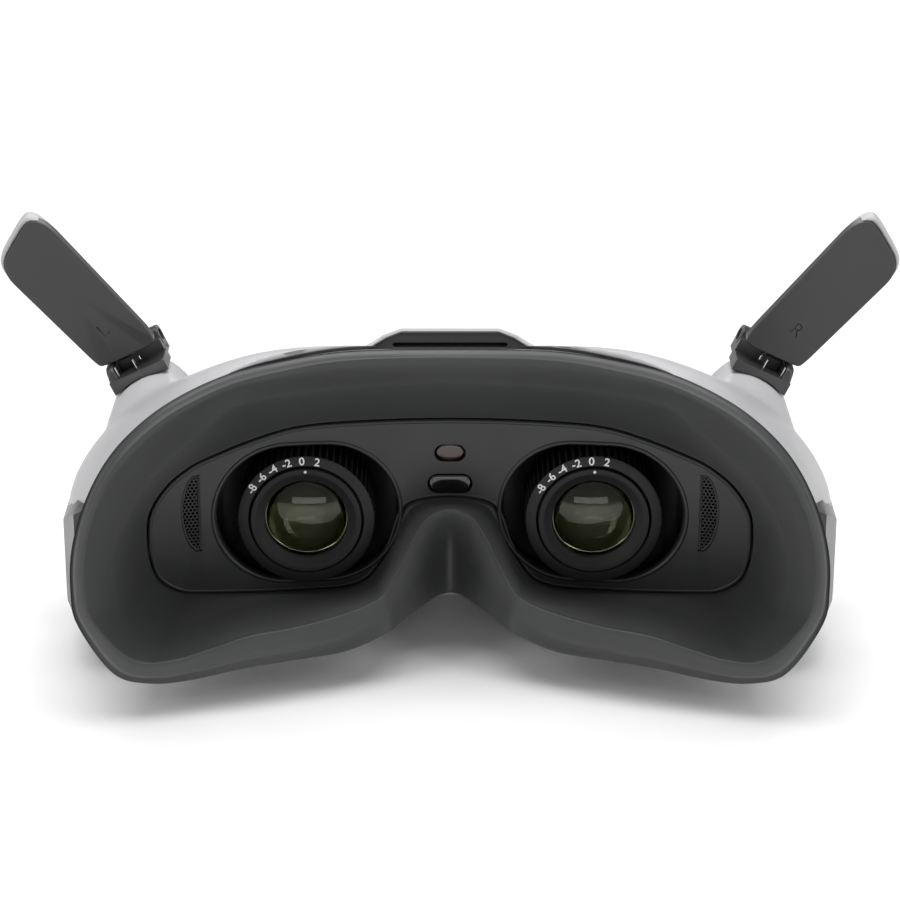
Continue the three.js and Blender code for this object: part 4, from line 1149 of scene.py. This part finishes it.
def ring_numbers(name, centre, face_y):
    """The dial's numbers, standing round the top of the ring with their feet to the lens."""
    all_numbers = bmesh.new()
    for label, degrees in NUMBERS:
        mesh = flat_text("number", label, NUMBER_SIZE, NUMBER_THICK, NUMBER_WEIGHT)
        a = math.radians(degrees)
        spot = Vector(at((centre[0] + NUMBER_RADIUS * math.sin(a), face_y,
                          centre[1] + NUMBER_RADIUS * math.cos(a))))
        turn = Matrix(((math.cos(a), math.sin(a), 0), (0, 0, -1), (-math.sin(a), math.cos(a), 0))).to_4x4()
        mesh.transform(Matrix.Translation(spot) @ turn)
        all_numbers.from_mesh(mesh)
    mesh = bpy.data.meshes.new(name)
    all_numbers.to_mesh(mesh)
    all_numbers.free()
    piece = bpy.data.objects.new(name, mesh)
    bpy.context.collection.objects.link(piece)
    return piece


print("numbers on each dial:", [label for label, _ in NUMBERS])

# %% [markdown]
# Now each eyepiece is put together, and each layer rides on its own body, so that the ring turns while
# the barrel slides. Behind the ring a thin black plate rides on the carriage as painted shade. It keeps
# the recess behind the window dark, where the studio's light would leak in by the focus wheel's opening.

# %% Eyepieces
# outline and depths of the black plate that paints the shade behind each window
SHADE = [(-19.4, -22), (19.4, -22), (19.4, 18.6), (-19.4, 18.6)]
SHADE_DEPTHS = (5.5, 5.75)
SLEEVE_HOLE, SHAFT_HOLE, SHAFT_DROP = 12.4, 2.6, 20.44
DOT_RADIUS = 11.45                      # from the lens axis to the dot
for name, side in SIDES:
    centre = (side * LENS_X, LENS_Z)
    finish_piece(lathe(f"{name}_toothed_ring", centre, ring_profile, 480, wave=ring_wave), f"{name}_ring",
                 "lens_ring", f"{name}_diopter_ring")
    finish_piece(ring_numbers(f"{name}_ring_numbers", centre, DIAL_Y), f"{name}_ring", "lens_ring",
                 finish="marking_white")
    finish_piece(lathe(f"{name}_barrel_tube", centre, barrel_profile), f"{name}_barrel", "lens_ring",
                 f"{name}_lens_barrel")
    finish_piece(lathe(f"{name}_eye_glass", centre, lens_profile, 72, closed=False, sharp=60), f"{name}_barrel",
                 "lens_glass", f"{name}_eye_lens")
    finish_piece(lathe(f"{name}_inner_element", centre, element_profile, 72, closed=False, sharp=60),
                 f"{name}_barrel", "lens_glass", finish="inner_element")
    # painted shade: a black plate that keeps the recess behind the window dark
    shade = prism(f"{name}_painted_shade_plate", [(centre[0] + x, centre[1] + z) for x, z in SHADE], *SHADE_DEPTHS)
    carve(shade, prism("sleeve_hole", circle(*centre, SLEEVE_HOLE, 64), 4, 8),
          prism("shaft_hole", circle(centre[0], centre[1] - SHAFT_DROP, SHAFT_HOLE, 32), 4, 8))
    finish_piece(shade, f"{name}_carriage", "black_plastic")
    dot = lathe(f"{name}_index_dot", (centre[0], centre[1] + DOT_RADIUS), dot_profile, 24, closed=False,
                sharp=60)
    finish_piece(dot, f"{name}_barrel", "lens_ring", finish="marking_white")

# %% [markdown]
# Behind the slot in the crown the duct is open to the front, so the studio would shine through it. One
# black strip across the duct is painted shade that keeps the slot dark. One
# black strip across the duct keeps the slot dark, as the louvres of a real outlet do.

# %% Crown painted shade
# painted shade: a black strip that keeps the crown slot dark
duct_painted_shade = bar("crown_duct_painted_shade", (-13.5, -2.35, 69.9), (13.5, -1.9, 72.2))
finish_piece(duct_painted_shade, "housing", "black_plastic")


# %% [markdown]
# Many small hard parts are right in shape already and only lack what a mould or a cutter leaves: a tiny
# round on every edge. Modelling them again would risk a misfit. They are copied from the frame, their
# flat faces are merged, and each edge is bevelled by an amount that suits its size.

# %% Hardware with rounded edges
FLAT_ANGLE = 1.5                        # degrees: faces closer to flat than this are merged
def refined(node, width, segments=3):
    """A copy of a plain part with merged faces and rounded edges."""
    mesh = bpy.data.meshes.new(f"{node}_rounded")
    work = bmesh.new()
    work.from_mesh(nodes[node].data)
    bmesh.ops.remove_doubles(work, verts=work.verts, dist=1e-6)
    bmesh.ops.dissolve_limit(work, angle_limit=math.radians(FLAT_ANGLE), verts=work.verts, edges=work.edges)
    work.to_mesh(mesh)
    work.free()
    piece = bpy.data.objects.new(mesh.name, mesh)
    bpy.context.collection.objects.link(piece)
    return bevelled(piece, width, segments)


body_of_node = {n: body for body, members in frame["record"]["behaviour"]["bodies"].items() for n in members}
ROUNDED = {"vent_panel": 0.12, "bottom_cover": 0.12, "usb_socket": 0.15, "audio_socket": 0.15,
           "card_slot": 0.15, "power_socket": 0.15, "fan_housing": 0.2, "fan_rotor": 0.12, "heat_sink": 0.12,
           "main_board": 0.15, "link_button": 0.3, "power_button": 0.3}
ROUNDED_EACH_SIDE = {"temple_plate": 1.1, "strap_bar": 0.15, "rod_bracket": 0.2, "antenna_pin": 0.15,
                     "front_camera": 0.3, "lens_carriage": 0.2, "focus_wheel": 0.12, "display": 0.3}
SPECIAL = {"left_temple_plate": "temple_cover", "right_temple_plate": "temple_cover",
           "vent_panel": "crown_panel"}
ROUNDED.update({f"cover_screw_{screw}": 0.08 for screw in (1, 2, 3, 4)})
ROUNDED.update({f"{name}_{part}": width for name, _ in SIDES for part, width in ROUNDED_EACH_SIDE.items()})
for node, width in ROUNDED.items():
    finish_piece(refined(node, width), body_of_node[node], node_slot[node], node, finish=SPECIAL.get(node))


# %% [markdown]
# An antenna is a flat blade in two colours. A dark cover wraps the face and the sides, and a light cap
# behind it shows only round the tip. Drawn in place, both would be a maze of slanted numbers. So they are
# drawn in the hinge's own frame, with the pin as origin and X outwards, and then turned out by the angle
# at which the hinge is set.

# %% Antenna outlines
PIN = (70.3, 19.5, 62.2)
PIN_TILT = 25.4
COVER = [(-6.5, 0.6), (-6.2, 3.8), (2.2, 34.6), (4.2, 36.9), (6.4, 37.4), (14.7, 32), (16.1, 28.4), (7.6, 1.3),
         (6.5, 0.6)]
CAP = [(-5.7, 0.9), (-5.5, 3.8), (3.1, 35.4), (4.8, 38.1), (6.8, 38.6), (15.3, 33), (16.3, 29.4), (7.0, 1.7),
       (6.0, 0.9)]
INNER_LUG, OUTER_LUG = (-6.6, -0.6), (4.2, 6.6)     # from and to, along the pin
BARREL_RADIUS, PIN_HOLE = 2.4, 1.4
CORNER = 3.0


def filleted(outline, radius, steps=6):
    """Replaces each corner by a short curve that leaves both edges at the given distance."""
    p = np.asarray(outline, float)
    out = []
    for before, corner, after in zip(np.roll(p, 1, 0), p, np.roll(p, -1, 0)):
        a, b = before - corner, after - corner
        reach = [min(radius, np.linalg.norm(v) * 0.48) for v in (a, b)]
        start = corner + a / np.linalg.norm(a) * reach[0]
        end = corner + b / np.linalg.norm(b) * reach[1]
        for t in np.linspace(0, 1, steps):
            out.append((1 - t) ** 2 * start + 2 * t * (1 - t) * corner + t ** 2 * end)
    return np.array(out)


def hinge_place(piece, side):
    """Takes a piece drawn about the pin to its place on one side; the left is the right mirrored."""
    if side < 0:
        piece.data.transform(Matrix.Scale(-1, 4, (1, 0, 0)))
        piece.data.flip_normals()
    tilt = Matrix.Rotation(math.radians(side * PIN_TILT), 4, "Y")
    pin = Vector(PIN) * MM
    pin.x *= side
    piece.data.transform(Matrix.Translation(pin) @ tilt)
    return piece


def evened(piece):
    """Normals that follow the large faces, so that flat faces stay flat beside small roundings."""
    tidy_normals(piece, 35)
    modified(piece, "WEIGHTED_NORMAL", keep_sharp=True, weight=100)
    return settle(piece)


print("rounded cover outline:", len(filleted(COVER, CORNER)), "points")


# %% [markdown]
# The cover is seated in the cap, and a side letter is pressed into it. The knuckle and a short neck join
# the cap to the pin. The letter could be a darker patch of colour, but on the real one it is a shallow
# mark that shows only by its shadow, so it is cut.

# %% Antenna blades
LETTER_SIZE, LETTER_LEAN = 4.4, 15
LETTER_SPOT = (2.6, -7.72, 8.2)
GAP = 0.3                               # between the knuckle and each lug


def side_letter(side):
    """The generic side letter, standing along the blade, as a tool that presses it into the cover."""
    shape = flat_text("letter", "L" if side < 0 else "R", LETTER_SIZE, 0.5, -0.04)
    letter = bpy.data.objects.new("letter", shape)
    bpy.context.collection.objects.link(letter)
    lean = math.radians(LETTER_LEAN)
    turn = Matrix(((side * math.cos(lean), math.sin(lean), 0), (0, 0, -side),
                   (-side * math.sin(lean), math.cos(lean), 0))).to_4x4()
    letter.data.transform(Matrix.Translation(Vector(at(LETTER_SPOT))) @ turn)
    return letter


for name, side in SIDES:
    blade = bevelled(prism(f"{name}_blade_cap", filleted(CAP, CORNER), -7.2, -2.7), 0.5, 4, 40)
    carve(blade, prism("cover_seat", offset_loop(filleted(COVER, CORNER), 0.1), -9, -4.4))
    knuckle = prism("knuckle", circle(0, 0, BARREL_RADIUS, 40), INNER_LUG[1] + GAP, OUTER_LUG[0] - GAP, "x")
    combine(blade, bevelled(knuckle, 0.25, 2), "UNION")
    combine(blade, bar("neck", (INNER_LUG[1] + GAP, -3.1, 0.65), (OUTER_LUG[0] - GAP, 0.2, 4)), "UNION")
    carve(blade, prism("pin_hole", circle(0, 0, PIN_HOLE, 32), -10, 10, "x"))
    finish_piece(hinge_place(evened(blade), side), f"{name}_antenna", "light_shell", f"{name}_antenna_body")

    cover = bevelled(prism(f"{name}_blade_cover", filleted(COVER, CORNER), -7.65, -4.5), 0.4, 4, 40)
    carve(cover, side_letter(side))
    finish_piece(hinge_place(evened(cover), side), f"{name}_antenna", "dark_plastic", f"{name}_antenna_cover",
                 finish="blade_cover")

# %% [markdown]
# The hinge collar is a saddle over the root with two lugs of unlike width. The wide inner lug is a
# rounded boss that narrows towards the blade, which a straight sweep can't do, so each lug is lofted.
# Between the lugs a black block paints the shade of the dark opening. It is edged by two thin bright
# steel plates, partly a painted highlight for the lit edges of the tongue, with the blade's knuckle behind it.

# %% Hinge collars
LUG_BACK = -2.2
INNER_TAPER, OUTER_TAPER = 1.1, 0.35
SHEET = 0.28                            # thickness of the bright plates
SADDLE = [(-6.75, -5.3), (-5, -4.75), (-3, -4.35), (0, -4.1), (3, -4.5), (5, -5.15), (6.75, -6.0), (6.75, -2.7),
          (-6.75, -2.7)]


def lug(x0, x1, taper):
    """A rounded block between two X values that narrows as it rises."""
    rings = []
    levels = ((-4.8, 0.15, -10.0), (-2.4, 0.0, -9.9), (-0.7, -taper * 0.5, -9.4), (0.15, -taper, -8.6))
    for z, grow, front in levels:
        ring = filleted([(x0 - grow, front), (x1 + grow, front), (x1 + grow, LUG_BACK), (x0 - grow, LUG_BACK)],
                        0.9)
        rings.append([(x, y, z) for x, y in ring])
    return bevelled(loft("lug", rings, sharp=30), 0.45, 3, 40)


for name, side in SIDES:
    collar = bevelled(prism(f"{name}_hinge_collar", SADDLE, -10.1, -2.4), 0.35, 3, 40)
    combine(collar, lug(*INNER_LUG, INNER_TAPER), "UNION")
    combine(collar, lug(*OUTER_LUG, OUTER_TAPER), "UNION")
    for ends in (INNER_LUG, OUTER_LUG):
        pin_barrel = prism("barrel", circle(0, 0, BARREL_RADIUS, 40), *ends, "x")
        combine(collar, bevelled(pin_barrel, 0.35, 3), "UNION")
        combine(collar, bar("cheek", (ends[0] + 0.1, -3.4, -4), (ends[1] - 0.1, 2.2, 0)), "UNION")
    carve(collar, prism("pin_hole", circle(0, 0, PIN_HOLE, 32), -10, 10, "x"))
    finish_piece(hinge_place(evened(collar), side), "housing", "dark_plastic", f"{name}_antenna_collar",
                 finish="blade_cover")
    for label, x in (("inner", -0.52), ("outer", 3.86)):
        # bright steel plates, partly a painted highlight for the lit edges of the hinge tongue
        bright = bar(f"{name}_hinge_{label}_plate", (x, -9.3, -2.75), (x + SHEET, -3.0, -0.1))
        finish_piece(hinge_place(bevelled(bright, 0.06, 2), side), "housing", "steel")
    # painted shade: a black block that darkens the opening between the lugs
    well = bar(f"{name}_hinge_painted_shade_well", (-0.2, -5.2, -2.72), (3.8, -2.9, -0.4))
    finish_piece(hinge_place(bevelled(well, 0.1, 2), side), "housing", "black_plastic")

# %% [markdown]
# The front visor is a gloss black lid. A bevelled slab would show a hard rim in its mirror finish. Here
# the last section of the housing is drawn in towards the front in small steps, so that the rim rolls
# over, and slots that feed the fan and a round hole for each camera are cut through.

# %% Front visor
VISOR_MIDDLE_Z = 25
INTAKE_SLOTS = (16, 19.5, 23, 26.5, 30, 33.5)
CAMERA_HOLE = (25, 28, 4.55)            # x, z, radius
VISOR_STEPS = ((46.35, 1.0), (47.6, 0.998), (48.9, 0.985), (50.3, 0.96), (51.6, 0.93), (52.9, 0.885),
               (53.6, 0.845), (53.85, 0.80), (53.9, 0.70), (53.9, 0.40))      # depth, scale
front_ring = section_rings[-1]
visor_rings = [[(x * scale, y, VISOR_MIDDLE_Z + (z - VISOR_MIDDLE_Z) * scale) for x, z in front_ring]
               for y, scale in VISOR_STEPS]
visor = loft("visor_lid", visor_rings)
for z in INTAKE_SLOTS:
    carve(visor, prism("intake", slot_outline(0, z, 8.5, 0.9, 8), 44, 56))
for _, side in SIDES:
    carve(visor, prism("camera_hole", circle(side * CAMERA_HOLE[0], *CAMERA_HOLE[1:], 56), 44, 56))
tidy_normals(visor, 40)
finish_piece(visor, "housing", "visor_gloss", "front_visor")
